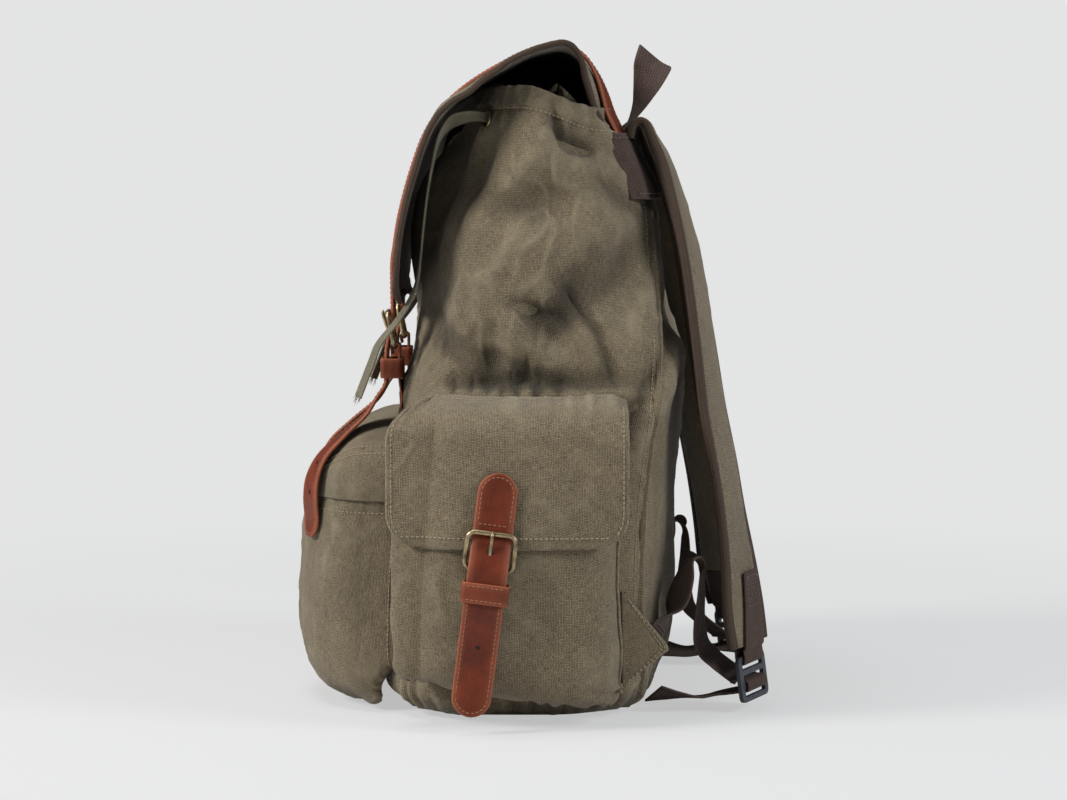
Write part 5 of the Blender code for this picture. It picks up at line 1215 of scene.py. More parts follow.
def buckle_ring(name, middle, across, down, stands_for, side):
    """A bent wire frame round a strap, lying in the plane of across and down."""
    path = loop_path(LEATHER_WIDTH / 2 + BUCKLE_PLAY + WIRE / 2, BUCKLE_TALL / 2 - WIRE / 2, 0.0048, 9)
    middles = middle + path[:, :1] * across + path[:, 1:] * down
    sides, flat = frames(middles, unit(np.cross(across, down)), closed=True)
    return tube(name, middles, sides, flat, WIRE / 2, BRASS, (stands_for,), count=14, side=side)


def prong(name, start, end, bulge, stands_for, side):
    """A flat pin from the heel bar, through the strap, onto the free bar."""
    rows = smooth([start, start * 0.6 + end * 0.4 + bulge, start * 0.25 + end * 0.75 + bulge, end], 26)
    sides, out = frames(rows, unit(np.cross(end - start, bulge)))
    share = np.linspace(0, 1, 26)
    radius = PRONG_WIDE * 0.46 * np.clip(np.sin(np.clip(share, 0.02, 0.98) * math.pi) * 5, 0.25, 1) * (1.08 - 0.2 * share)
    return tube(name, rows, sides, out, radius, BRASS, (stands_for,), closed=False, side=side)


def keeper(name, middle, across, down, out, deep, stands_for, side):
    """A closed leather loop round the strap and its base, with a row of stitches near both edges."""
    path = loop_path(LEATHER_WIDTH / 2 + GAP * 2 + KEEPER_THICK / 2, deep / 2 + KEEPER_THICK / 2, 0.0024, 9)
    middles = middle + path[:, :1] * across + path[:, 1:] * out
    sides, flat = frames(middles, down, closed=True)
    section = soft_section(7, 5)
    count = len(middles)
    rings, u = swept(middles, sides, flat, np.full(count, KEEPER_TALL), np.full(count, KEEPER_THICK), section)
    size = len(section)
    run = np.concatenate(([0], np.cumsum(np.linalg.norm(np.diff(middles, axis=0), axis=1))))
    edge = np.exp(-(KEEPER_TALL / 2 - np.abs(u)) / 0.0014)
    cloth = np.stack((u, np.broadcast_to(run[:, None], u.shape) + 0.3, edge * 0.7 + 0.15), axis=-1)
    faces = quads(count, size) + [[(count - 1) * size + k, (count - 1) * size + (k + 1) % size, (k + 1) % size, k]
                                  for k in range(size)]
    made = piece(name, rings, faces, LEATHER, (stands_for,), cloth, side=side)
    half = LEATHER_WIDTH / 2 - 0.0006
    rows = []
    face = middle + out * (deep / 2 + KEEPER_THICK)
    for edge in (-1, 1):
        line = face + across * np.linspace(-half, half, 20)[:, None] + down * edge * (KEEPER_TALL / 2 - 0.0022)
        rows.append((line, np.broadcast_to(out, line.shape)))
    stitches(name + "_stitches", rows, TAN_THREAD, pitch=0.0029, long=0.0020, thick=0.0006, side=side)
    return made


def punched(name, place, across, down, out, wide, tall, side):
    """A punched hole drawn as a disc of painted shade in nearly black leather, its rim tucked just under the face of
    the leather and its middle just above it.
    """
    turn = np.arange(20) / 20 * 2 * math.pi
    rings = [[place + across * math.cos(t) * wide / 2 * r + down * math.sin(t) * tall / 2 * r + out * n for t in turn]
             for r, n in ((1.0, -0.0004), (1.0, 0.00012), (0.86, 0.00018), (0.70, 0.00008), (0.10, 0.00006))]
    faces = quads(5, 20) + [list(range(20)), list(range(80, 100))]
    cloth = np.zeros((100, 3)) + (0.2, 0.2, 0)
    piece(name, rings, faces, PAINTED_HOLE_SHADE, cloth=cloth, side=side)


def wrapped(bar, down, out, radius):
    """The end of a base strap that turns round its bar from behind, over it and down in front."""
    out = unit(out - down * np.dot(out, down))
    turn = np.radians((-90, -60, -30, 0, 30, 60, 90))
    return [bar - down * radius * math.cos(t) + out * radius * math.sin(t) for t in turn] + \
        [bar + down * 0.004 + out * radius]


def meeting(rows, start, end):
    """Where a strap through rows comes nearest to the line from start to end."""
    path = smooth(np.array(rows)[:, :3], 600)
    line = start + (end - start) * np.linspace(0, 1, 60)[:, None]
    away = np.linalg.norm(path[:, None] - line[None], axis=2)
    return path[np.unravel_index(np.argmin(away), away.shape)[0]]


def strap_place(across, down, out):
    """A place on the side strap: metres across, down it, and out from what lies under it."""
    lean_y, lean_z = math.sin(SIDE_STRAP_LEAN), math.cos(SIDE_STRAP_LEAN)
    middle_y, middle_z = SIDE_STRAP_TOP[0] - down * lean_y, SIDE_STRAP_TOP[1] - down * lean_z
    base = flap_face(middle_y, max(middle_z, SIDE_FLAP_HEM * 0.55)) - (POCKET_WALL + GAP) * (middle_z < SIDE_FLAP_HEM)
    return np.array((base + out, middle_y + across * lean_z, middle_z - across * lean_y))


for label, side in SIDES:
    free = SIDE_BUCKLE_DOWN
    heel = free + BUCKLE_TALL - WIRE
    half = LEATHER_THICK / 2
    on = GAP + half + STRAP_EASE
    wrap = WIRE / 2 + GAP + BASE_THICK / 2
    lift = GAP * 2 + KEEPER_THICK + GAP + BASE_THICK / 2
    heel_out = lift + wrap
    over = heel_out + wrap + BASE_THICK / 2 + GAP * 2 + half
    rows = ((0.0, on), (0.018, on), (0.031, on), (free, on + 0.0004), (free + 0.007, on + 0.0026),
            (heel - 0.006, over - 0.0014), (heel, over), (heel + 0.006, over - 0.0002),
            (heel + 0.014, over - 0.0003), (heel + 0.021, over - 0.0004), (heel + 0.026, over - 0.0010),
            (heel + 0.038, on + 0.0046), (heel + 0.056, on + 0.0018), (SIDE_STRAP_LONG - 0.012, on + 0.0010),
            (SIDE_STRAP_LONG, on + 0.0014))
    points = [strap_place(0, down, out) for down, out in rows]
    made, line = strap("side_leather_" + label, points, ACROSS_SIDE, LEATHER_WIDTH, LEATHER_THICK, LEATHER,
                       ("side_strap_" + label,), count=150, tips=(0, 1), side=side)
    inset = LEATHER_WIDTH / 2 - 0.0026
    turn = np.linspace(0, math.pi, 40)
    ring_run = LEATHER_WIDTH / 2 - inset * np.sin(turn)
    ring_off = inset * np.cos(turn)
    arc = [strap_line(line, run, run + 1e-6, offset) for run, offset in zip(ring_run, ring_off)]
    top_arc = (np.array([a[0][0] for a in arc]), np.array([a[1][0] for a in arc]))
    ends = [strap_line(line, LEATHER_WIDTH / 2, 0.0325, sign * inset) for sign in (-1, 1)]
    tail = [strap_line(line, heel + 0.022, line["run"][-1] - LEATHER_WIDTH / 2, sign * inset) for sign in (-1, 1)]
    arc = [strap_line(line, line["run"][-1] - run, line["run"][-1] - run + 1e-6, offset)
           for run, offset in zip(ring_run, ring_off)]
    low_arc = (np.array([a[0][0] for a in arc]), np.array([a[1][0] for a in arc]))
    stitches("side_leather_stitches_" + label, [top_arc, low_arc, strap_row(line, 0.0325, -inset, inset)] + ends
             + tail, TAN_THREAD, pitch=0.0030, long=0.0021, thick=0.0006, side=side)
    free_at = strap_place(0, free, on + half + GAP * 2 + WIRE / 2)
    heel_at = strap_place(0, heel, heel_out)
    down = unit(heel_at - free_at)
    buckle_ring("side_wire_" + label, (free_at + heel_at) / 2, ACROSS_SIDE, down, "side_buckle_" + label, side)
    root = heel_at - down * (wrap + BASE_THICK / 2 + GAP * 2) + OUT_X * 0.0006
    tip = free_at + OUT_X * (WIRE / 2 + GAP * 2 + PRONG_WIDE * 0.35) - down * 0.0012
    prong("side_pin_" + label, root, tip, OUT_X * 0.0010, "side_prong_" + label, side)
    spot = meeting(points, root, tip)
    punched("side_slot_" + label, spot + OUT_X * half, ACROSS_SIDE, down, unit(np.cross(ACROSS_SIDE, down)) * -1
            if np.cross(ACROSS_SIDE, down)[0] < 0 else unit(np.cross(ACROSS_SIDE, down)), 0.0042, 0.0085, side)
    for more in (0.111,):
        hole, way = strap_line(line, more, more + 1e-6, 0.0)
        punched("side_hole_%s_%d" % (label, more * 1000), hole[0], ACROSS_SIDE, DOWN_SIDE, way[0], 0.0030, 0.0030,
                side)
    low = [strap_place(0, heel + d, out) for d, out in
           ((0.040, GAP + STRAP_EASE + BASE_THICK / 2), (0.031, GAP + STRAP_EASE + BASE_THICK / 2),
            (0.022, lift), (0.006, lift))]
    strap("side_tab_" + label, low + wrapped(heel_at, down, OUT_X, wrap), ACROSS_SIDE, BASE_WIDTH, BASE_THICK,
          LEATHER, ("side_base_" + label,), count=70, side=side)
    near, far = over + half + GAP, lift - BASE_THICK / 2 - GAP
    keeper("side_loop_" + label, strap_place(0, heel + 0.014, (near + far) / 2), ACROSS_SIDE, DOWN_SIDE, OUT_X,
           near - far, "side_keeper_" + label, side)


# Lid: doubled canvas, sewn to the top of the back and laid over the mouth. Its edge is bound in dark
# brown tape, which is stitched through.
LID_WIDTH = 0.250
LID_REACH = 0.160
LID_RISE = 0.032
LID_THICK = 0.0022
LID_CORNER = 0.040
LID_APEX_Y = 0.0150
BAND_TALL = 0.042
BAND_TOP = 0.926
LID_PROFILE = (
    (0.244, -0.55), (0.203, -0.08), (0.153, 0.33), (0.113, 0.56), (0.069, 0.73), (0.019, 0.82), (-0.037, 0.81),
    (-0.106, 0.73), (-0.181, 0.56), (-0.287, 0.27), (-0.394, -0.11), (-0.475, -0.53), (-0.525, -0.94),
    (-0.556, -1.31), (-0.600, -1.97), (-0.637, -2.69), (-0.659, -3.41), (-0.666, -3.91), (-0.650, -4.31),
)
WALL_STACK = GAP + LID_THICK


def body_back(x, z):
    middle, deep, half, square = section_at((z + MOUTH_DROP * step(0.80, 1.0, z / BODY_HEIGHT)) / BODY_HEIGHT)
    return middle + deep * np.clip(1 - np.abs(x / half) ** square, 0.0, 1.0) ** (1 / square)


def behind(x, z, off):
    """A place off behind the back of the sack, measured square to it."""
    slope = (body_back(x + 0.004, z) - body_back(x - 0.004, z)) / 0.008
    return body_back(x, z) + off * np.sqrt(1 + slope**2)


def lid_curve():
    rows = [(0.0, LID_APEX_Y + a * LID_REACH, BODY_HEIGHT + b * LID_RISE) for a, b in LID_PROFILE]
    low_z = BODY_HEIGHT * BAND_TOP - BAND_TALL * 0.55
    foot = [(0.0, body_back(0.0, z) + WALL_STACK, z) for z in (low_z, low_z + BAND_TALL / 4, low_z + BAND_TALL / 2)]
    return smooth(foot + rows, 400)[:, 1:]


LID_CURVE = lid_curve()
LID_LONG = float(np.sum(np.linalg.norm(np.diff(LID_CURVE, axis=0), axis=1)))


def lid_point(x, s):
    """A place on the outer face of the lid: x across, s the share of the way from seam to hem."""
    at = np.clip(s, 0, 1) * (len(LID_CURVE) - 1)
    y = np.interp(at, np.arange(len(LID_CURVE)), LID_CURVE[:, 0])
    z = np.interp(at, np.arange(len(LID_CURVE)), LID_CURVE[:, 1])
    hug = 1 - step(0.10, 0.30, s)
    low = np.minimum(z, BODY_HEIGHT * BAND_TOP)
    y = y - hug * (behind(0.0, low, WALL_STACK) - behind(x, low, WALL_STACK))
    share = np.abs(x) / (LID_WIDTH / 2)
    z = z - LID_RISE * 0.14 * share**2 * step(0.20, 0.45, s)
    y = y + LID_REACH * 0.030 * share**3 * step(0.60, 0.95, s)
    return np.stack(np.broadcast_arrays(x * 1.0, y, z), axis=-1)


def lid_half(s):
    half = LID_WIDTH / 2 * (0.70 + 0.30 * step(0.05, 0.40, s))
    left = np.minimum((1 - s) * LID_LONG, LID_CORNER)
    return half - LID_CORNER + np.sqrt(np.clip(LID_CORNER**2 - (LID_CORNER - left) ** 2, 0, None))


shares = np.concatenate((np.linspace(0, 0.90, 110), np.linspace(0.905, 0.985, 22), (0.990, 0.994, 0.997, 0.999, 1.0)))
across = np.linspace(1, -1, 130)
grid = np.stack([lid_point(across * lid_half(s), s) for s in shares])
sag = crumple(grid, 0.0028, 0.0012, 41)
strap_lies = np.exp(-((np.abs(grid[..., 0]) - 0.072) / 0.019) ** 4)
rows_share = shares[:, None]
sag += 0.0016 * np.exp(-((rows_share - 0.30) / 0.02) ** 2) + 0.0020 * np.exp(-((rows_share - 0.52) / 0.03) ** 2) \
    * np.sin(across[None] * 5)
sag *= (1 - 0.92 * strap_lies) * step(0.05, 0.18, rows_share)
# Its sides stand up beside the leather straps that pull it down, and its left side hangs lower
side_share = np.abs(grid[..., 0])
sag += 0.0026 * step(0.086, 0.106, side_share) * step(0.16, 0.34, rows_share)
droops = step(0.080, 0.130, -grid[..., 0]) * np.exp(-((rows_share - 0.42) / 0.24) ** 4)
sag -= 0.0400 * droops
lid, grid, normals = panel("lid_cloth", grid, LID_THICK, CANVAS, ("main_lid",), sag)
BINDING_WIDE = 0.0046


def tape_finish(name, dark, light, rib=820.0):
    """Woven tape: close ribs across it and a herringbone of warp threads."""
    made = bpy.data.materials.new(name)
    made.use_nodes = True
    tree = made.node_tree
    shader = tree.nodes["Principled BSDF"]
    cloth = put(tree, "Attribute", {"attribute_name": "cloth"}).outputs["Vector"]
    parts = put(tree, "SeparateXYZ", i0=cloth).outputs
    zigzag = maths(tree, "PINGPONG", parts[0], 0.0031)
    slant = maths(tree, "SINE", maths(tree, "MULTIPLY", maths(tree, "ADD", parts[1], zigzag), rib * math.pi * 1.15))
    ribs = maths(tree, "ABSOLUTE", maths(tree, "SINE", maths(tree, "MULTIPLY", parts[0], rib * math.pi * 0.6)))
    raised = maths(tree, "ADD", maths(tree, "MULTIPLY", slant, 0.5), ribs)
    soil = blotches(tree, cloth, 130.0, 4.0, 0.6)
    share = maths(tree, "MULTIPLY", soil, put(tree, "MapRange", i0=raised, i1=-0.2, i2=1.4, i3=0.3,
                                              i4=1.5).outputs[0])
    worn = maths(tree, "MAXIMUM", share, maths(tree, "MULTIPLY", parts[2], 0.7))
    tree.links.new(blend_colours(tree, worn, dark, light), shader.inputs["Base Color"])
    shader.inputs["Roughness"].default_value = 0.85
    shader.inputs["Sheen Weight"].default_value = 0.03
    shader.inputs["Specular IOR Level"].default_value = 0.3
    tree.links.new(put(tree, "Bump", Strength=0.6, Distance=0.00035, Height=raised).outputs[0],
                   shader.inputs["Normal"])
    return made


TAPE = tape_finish("dark brown webbing", (0.014, 0.008, 0.006, 1), (0.090, 0.057, 0.043, 1))
BINDING = tape_finish("dark brown binding tape", (0.018, 0.011, 0.006, 1), (0.072, 0.045, 0.029, 1), 1300.0)


def binding(name, places, normals, outward, wide, thick, closed=False, side=1):
    """Tape folded over an edge: places on the edge, the cloth's normals and the way out of the edge there."""
    around = np.array([(-1.0, 0.62), (-0.75, 0.86), (-0.35, 1.0), (0.10, 0.98), (0.36, 0.72), (0.46, 0.0),
                       (0.36, -0.72), (0.10, -0.98), (-0.35, -1.0), (-0.75, -0.86), (-1.0, -0.62)])
    points = places[:, None] + outward[:, None] * around[:, :1] * wide + normals[:, None] * around[:, 1:] * thick
    count, size = len(places), len(around)
    run = np.concatenate(([0], np.cumsum(np.linalg.norm(np.diff(places, axis=0), axis=1))))
    u = np.broadcast_to(np.linspace(0, 2 * wide, size), (count, size))
    edge = np.exp(-(((around[:, 0] - 0.46) / 0.35) ** 2)) * 0.5
    cloth = np.stack((u, np.broadcast_to(run[:, None], u.shape), np.broadcast_to(edge, u.shape)), axis=-1)
    faces = quads(count, size) + [tuple(range(size)), tuple((count - 1) * size + k for k in range(size))]
    piece(name, points, faces, BINDING, cloth=cloth, side=side)
    line = places - outward * wide * 0.62
    stitches(name + "_stitches", [(line + normals * thick * 0.92, normals), (line - normals * thick * 0.92, -normals)],
             DARK_THREAD, pitch=0.0034, long=0.0022, thick=0.0006, side=side)


edge = np.concatenate((grid[8:, 0], grid[-1, 1:-1], grid[8:, -1][::-1]))
edge_up = np.concatenate((normals[8:, 0], normals[-1, 1:-1], normals[8:, -1][::-1]))
inward = np.concatenate((grid[8:, 3], grid[-4, 1:-1], grid[8:, -4][::-1]))
outward = edge - inward
outward = unit(outward - edge_up * np.sum(outward * edge_up, axis=1, keepdims=True))
for _ in range(3):
    outward[1:-1] = unit(outward[:-2] + outward[1:-1] + outward[2:])
binding("lid_binding", edge - edge_up * LID_THICK / 2, edge_up, outward, BINDING_WIDE, LID_THICK / 2 + 0.0008)


# Front straps: two long leather straps over the whole lid. Each comes down in front through a wire buckle
# and a keeper, which hang from a short base strap on the sack, and its tail hangs over the front pocket.
LID_STRAP_APART = 0.144
FRONT_BUCKLE_Z = 0.248
FRONT_BAR_Y = -0.0955
FRONT_HEEL_Y = -0.0905
TAIL_EASE = 0.0024
TAIL_STRAY = 0.004
STRAP_TAIL = ((0.012, 0.538), (0.000, 0.579), (-0.014, 0.617), (-0.028, 0.664), (-0.042, 0.706),
              (-0.056, 0.0), (-0.070, 0.0), (-0.081, 0.0))


def lid_out(x, s, off):
    """A place off in front of the outer face of the lid, with the directions across and out there."""
    h = 0.004
    across = unit(lid_point(x + h, s) - lid_point(x - h, s))
    ahead = unit(lid_point(x, min(s + h, 1.0)) - lid_point(x, max(s - h, 0.0)))
    return lid_point(x, s) + unit(np.cross(ahead, across)) * off, across


def front_flap_place(x, reach):
    share = np.abs(x) / (FRONT_POCKET_WIDTH / 2 + FLAP_GROW)
    out = np.clip(share**2.5 + reach**2.5, 0, 1) ** 0.4
    edge = (1 - out**7) ** (1 / 7)
    z = FRONT_FLAP_HEM + tall * edge * (read(FRONT_FLAP_LINE, 1, reach) - 0.30 * share**2 * (1 - reach))
    deep = POCKET_SEAT + FRONT_POCKET_DEPTH * 0.925 + GAP
    return np.stack(np.broadcast_arrays(x * 1.0, body_front(x, z) - GAP - POCKET_WALL - deep * reach, z), axis=-1)


def front_face(x, z):
    """The outer face of the front pocket, or of its flap down to the hem, at a place on it."""
    if z > FRONT_FLAP_HEM - 0.005:
        z = max(z, FRONT_FLAP_HEM)
        share = np.abs(x) / (FRONT_POCKET_WIDTH / 2 + FLAP_GROW)
        places = front_flap_place(np.full(200, x), np.linspace(0.0, (1 - share**2.5) ** 0.4, 200))
        return float(np.min(places[places[:, 2] >= z - 0.0005, 1], initial=places[0, 1]))
    out = read([row for row in FRONT_POCKET_ROWS if row[1] > 0.7], 1, z / FRONT_POCKET_HEIGHT)
    share = np.abs(x) / (FRONT_POCKET_WIDTH / 2)
    return float(body_front(x, z) - POCKET_SEAT - out * FRONT_POCKET_DEPTH * (1 - share**2.5) ** 0.4)


for label, side in SIDES:
    x = LID_STRAP_APART / 2
    half = LEATHER_THICK / 2
    rows = []
    for s in np.concatenate(((0.035,), np.linspace(0.08, 0.93, 20))):
        place, across = lid_out(x, s, GAP + half + STRAP_EASE * 1.2)
        rows.append(np.concatenate((place, across)))
    face = np.array((1.0, 0.0, 0.0))
    out_y = np.array((0.0, -1.0, 0.0))
    free_at = np.array((x, FRONT_BAR_Y, FRONT_BUCKLE_Z + (BUCKLE_TALL - WIRE) / 2))
    heel_at = np.array((x, FRONT_HEEL_Y, FRONT_BUCKLE_Z - (BUCKLE_TALL - WIRE) / 2))
    reach = WIRE / 2 + GAP + BASE_THICK + GAP * 2 + half
    free_z, heel_z = free_at[2], heel_at[2]
    over = FRONT_HEEL_Y - reach
    for y, z in ((FRONT_BAR_Y + WIRE / 2 + GAP * 2 + half, free_z), (FRONT_BAR_Y + 0.0036, free_z - 0.006),
                 (over + 0.0012, heel_z + 0.006), (over, heel_z), (over - 0.0004, heel_z - 0.006),
                 (over - 0.0005, heel_z - 0.014), (over - 0.0005, heel_z - 0.0215),
                 (over - 0.0022, heel_z - 0.0265)):
        rows.append(np.concatenate(((x, y, z), face)))
    for above, forward in STRAP_TAIL:
        turn = step(0.012, -0.056, above)
        tail_x, tail_z = x + TAIL_STRAY * turn, FRONT_FLAP_RISE + above
        lie = min(front_face(tail_x, tail_z) - GAP - half - TAIL_EASE, -forward * BODY_DEPTH)
        slope = (front_face(x + 0.012, FRONT_FLAP_HEM) - front_face(x - 0.004, FRONT_FLAP_HEM)) / 0.016 * turn
        rows.append(np.concatenate(((tail_x, lie, tail_z), unit(np.array((1.0, slope, 0.0))))))
    made, line = strap("lid_leather_" + label, np.array(rows), None, LEATHER_WIDTH, LEATHER_THICK, LEATHER,
                       ("lid_strap_" + label,), count=300, tips=(1,), side=side)
    inset = LEATHER_WIDTH / 2 - 0.0026
    arc = [strap_line(line, line["run"][-1] - run, line["run"][-1] - run + 1e-6, offset)
           for run, offset in zip(ring_run, ring_off)]
    low_arc = (np.array([a[0][0] for a in arc]), np.array([a[1][0] for a in arc]))
    borders = [strap_line(line, 0.02, line["run"][-1] - LEATHER_WIDTH / 2, sign * inset) for sign in (-1, 1)]
    stitches("lid_leather_stitches_" + label, borders + [low_arc], TAN_THREAD, pitch=0.0032,
             long=0.0021, thick=0.0006, side=side)
    down = unit(heel_at - free_at)
    buckle_ring("front_wire_" + label, (free_at + heel_at) / 2, face, down, "front_buckle_" + label, side)
    wrap = WIRE / 2 + GAP + BASE_THICK / 2
    root = heel_at - down * (wrap + BASE_THICK / 2 + GAP * 2) + out_y * 0.0006
    tip = free_at + out_y * (WIRE / 2 + GAP * 2 + PRONG_WIDE * 0.35) - down * 0.0012
    prong("front_pin_" + label, root, tip, out_y * 0.0010, "front_prong_" + label, side)
    for back in (0.030, 0.050):
        hole, way = strap_line(line, line["run"][-1] - back, line["run"][-1] - back + 1e-6, 0.0)
        punched("lid_leather_hole_%s_%d" % (label, back * 1000), hole[0], face, unit(np.cross(way[0], face)), way[0],
                0.0030, 0.0030, side)
    low = []
    for z, lift in ((FRONT_FLAP_RISE + 0.004, 0.0), (FRONT_FLAP_RISE + 0.011, 0.0), (heel_z - 0.021, 1.0),
                    (heel_z - 0.005, 1.0)):
        seat = body_front(x - BASE_WIDTH / 2, z) - GAP - BASE_THICK / 2
        low.append(np.array((x, seat * (1 - lift) + (FRONT_HEEL_Y + wrap) * lift, z)))
    strap("front_tab_" + label, low + wrapped(heel_at, down, out_y, wrap), face, BASE_WIDTH, BASE_THICK, LEATHER,
          ("front_base_" + label,), count=70, side=side)
    near = over - 0.0007 - half - GAP * 2
    far = FRONT_HEEL_Y + wrap + BASE_THICK / 2 + GAP
    keeper("front_loop_" + label, np.array((x, (near + far) / 2, heel_z - 0.0135)), face,
           np.array((0.0, 0.0, -1.0)), out_y, far - near, "front_keeper_" + label, side)


# Back band and haul loop: a wide band of dark brown webbing over the seam of the lid, and a loop of
# narrower webbing, twisted and sewn in behind it, to lift the bag by.
BAND_WIDTH = 0.192
BAND_THICK = 0.0018
BAND_EASE = 0.0018
WEBBING_WIDTH = 0.025
WEBBING_THICK = 0.0016
HAUL_RISE = 0.056
seat = WALL_STACK + GAP + LEATHER_THICK + GAP + BAND_THICK + BAND_EASE
top = BODY_HEIGHT * BAND_TOP
x = np.linspace(1, -1, 120) * BAND_WIDTH / 2
ends = step(BAND_WIDTH / 2, BAND_WIDTH / 2 - 0.007, np.abs(x))
grid = np.stack([np.stack((x, behind(x, z, GAP + BAND_THICK + (seat - GAP - BAND_THICK) * ends), np.full_like(x, z)),
                          axis=-1) for z in np.linspace(top - BAND_TALL, top, 30)])
band, grid, normals = panel("webbing_band", grid, BAND_THICK, TAPE, ("back_band",),
                            crumple(grid, 0.0008, 0.0003, 51))
rows = [inside_row(grid, normals, 2, 2, -2), inside_row(grid, normals, -3, 2, -2)]
stitches("webbing_band_stitches", rows, DARK_THREAD)

apart = WEBBING_WIDTH / 2 + 0.0020
foot = [(z, behind(0.0, z, WALL_STACK + GAP * 2 + WEBBING_THICK / 2)) for z in (top - 0.008, top - 0.003, top + 0.002)]
leg = [(apart, y, z, 0) for z, y in foot]
back, rise = foot[-1][1], top
leg += [(apart * 1.02, back + 0.0060, rise + HAUL_RISE * 0.22, 8),
        (apart * 1.05, back + 0.0130, rise + HAUL_RISE * 0.48, 30),
        (apart * 0.80, back + 0.0190, rise + HAUL_RISE * 0.80, 62)]
rows = leg + [(0.0, back + 0.0200, rise + HAUL_RISE - 0.0030, 90)]
rows += [(-x, y, z, 180 - turn) for x, y, z, turn in leg[::-1]]
rows = [(x, y, z, math.cos(math.radians(t)), math.sin(math.radians(t)), -0.85 * math.sin(math.radians(t)) ** 3)
        for x, y, z, t in rows]
made, line = strap("haul_webbing", rows, None, WEBBING_WIDTH, WEBBING_THICK, TAPE, ("haul_loop",),
                   count=160)
ends = []
for run in (0.052, 0.056, line["run"][-1] - 0.052, line["run"][-1] - 0.056):
    ends.append(strap_row(line, run, -0.010, 0.010))
stitches("haul_stitches", ends, TAN_THREAD)


# Shoulder straps: padded canvas, bound along both edges in dark brown tape. They are sewn in under the
# band, and a webbing patch, box stitched to each one's lower end, holds its ladder lock.
SHOULDER_WIDTH = 0.066
SHOULDER_THICK = 0.0110
SHOULDER_TOP_APART = 0.104
SHOULDER_LOW_APART = 0.200
LOCK_WIDE = 0.036
LOCK_THICK = 0.0032
LOCK_BAR = 0.0036
LOCK_SLOT = 0.0052
LOCK_DOWN = 0.0065
SHOULDER_LINE = (
    (0.00, 0.338, 0.918, 3.0, 0.72, 0.36), (0.00, 0.352, 0.942, 3.0, 0.73, 0.40),
    (0.00, 0.388, 0.944, 3.0, 0.74, 0.42), (0.02, 0.415, 0.920, 3.0, 0.80, 0.55), (0.08, 0.457, 0.877, 4.0, 0.88, 0.90),
    (0.20, 0.492, 0.825, 6.0, 0.95, 1.00), (0.36, 0.523, 0.768, 8.0, 1.00, 1.00), (0.52, 0.551, 0.702, 10.0, 1.00, 1.00),
    (0.70, 0.586, 0.591, 12.0, 1.00, 1.00), (0.83, 0.616, 0.485, 14.0, 1.00, 1.00), (0.92, 0.650, 0.399, 15.0, 0.99, 1.00),
    (0.97, 0.677, 0.320, 16.0, 0.97, 1.00), (1.00, 0.700, 0.246, 20.0, 0.94, 1.00), (1.00, 0.718, 0.172, 26.0, 0.88, 0.95),
    (1.00, 0.736, 0.108, 32.0, 0.70, 0.60),
)


def shoulder_rows(first=2):
    rows = []
    for apart, back, up, yaw, wide, thick in SHOULDER_LINE[first:]:
        x = (SHOULDER_TOP_APART + (SHOULDER_LOW_APART - SHOULDER_TOP_APART) * apart) / 2
        turn = math.radians(yaw)
        rows.append((x, back * BODY_DEPTH, up * BODY_HEIGHT, -math.cos(turn), math.sin(turn), 0.0,
                     wide * SHOULDER_WIDTH, thick * SHOULDER_THICK))
    return np.array(rows)


def plastic_finish():
    made = bpy.data.materials.new("slate plastic")
    made.use_nodes = True
    tree = made.node_tree
    shader = tree.nodes["Principled BSDF"]
    where = put(tree, "TexCoord").outputs["Object"]
    cloud = blotches(tree, where, 120.0, 3.0)
    tree.links.new(blend_colours(tree, cloud, (0.018, 0.021, 0.026, 1), (0.050, 0.057, 0.066, 1)),
                   shader.inputs["Base Color"])
    scratch = blotches(tree, where, 900.0, 4.0, 0.7)
    tree.links.new(put(tree, "MapRange", i0=scratch, i1=0.3, i2=0.7, i3=0.32, i4=0.50).outputs[0],
                   shader.inputs["Roughness"])
    tree.links.new(put(tree, "Bump", Strength=0.15, Distance=0.0001, Height=scratch).outputs[0],
                   shader.inputs["Normal"])
    return made


PLASTIC = plastic_finish()
WEBBING_LEAD = (
    (0.1290, 0.0790, 0.0560, 0.10, 0.60, 1.00), (0.1260, 0.0900, 0.0700, 0.30, 0.60, 0.80),
    (0.1220, 0.0960, 0.0860, 0.60, 0.50, 0.40), (0.1170, 0.0990, 0.0980, 0.90, 0.20, 0.10),
    (0.1130, 0.1040, 0.1010, 0.95, 0.00, 0.00), (0.1090, 0.1085, 0.0940, 0.95, -0.10, 0.00),
    (0.1060, 0.1090, 0.0780, 0.95, -0.20, 0.00), (0.1030, 0.1080, 0.0600, 0.95, -0.30, 0.00),
    (0.0995, 0.1100, 0.0440, 0.90, -0.40, 0.00), (0.0960, 0.1190, 0.0330, 0.87, -0.48, 0.00),
)
WEBBING_TAIL = (
    (0.0960, 0.1220, 0.0105, 0.87, -0.45, 0.00), (0.0985, 0.1080, 0.0085, 0.90, -0.30, 0.10),
    (0.1040, 0.0920, 0.0100, 0.90, -0.10, 0.30), (0.1100, 0.0780, 0.0125, 0.80, 0.00, 0.50),
)
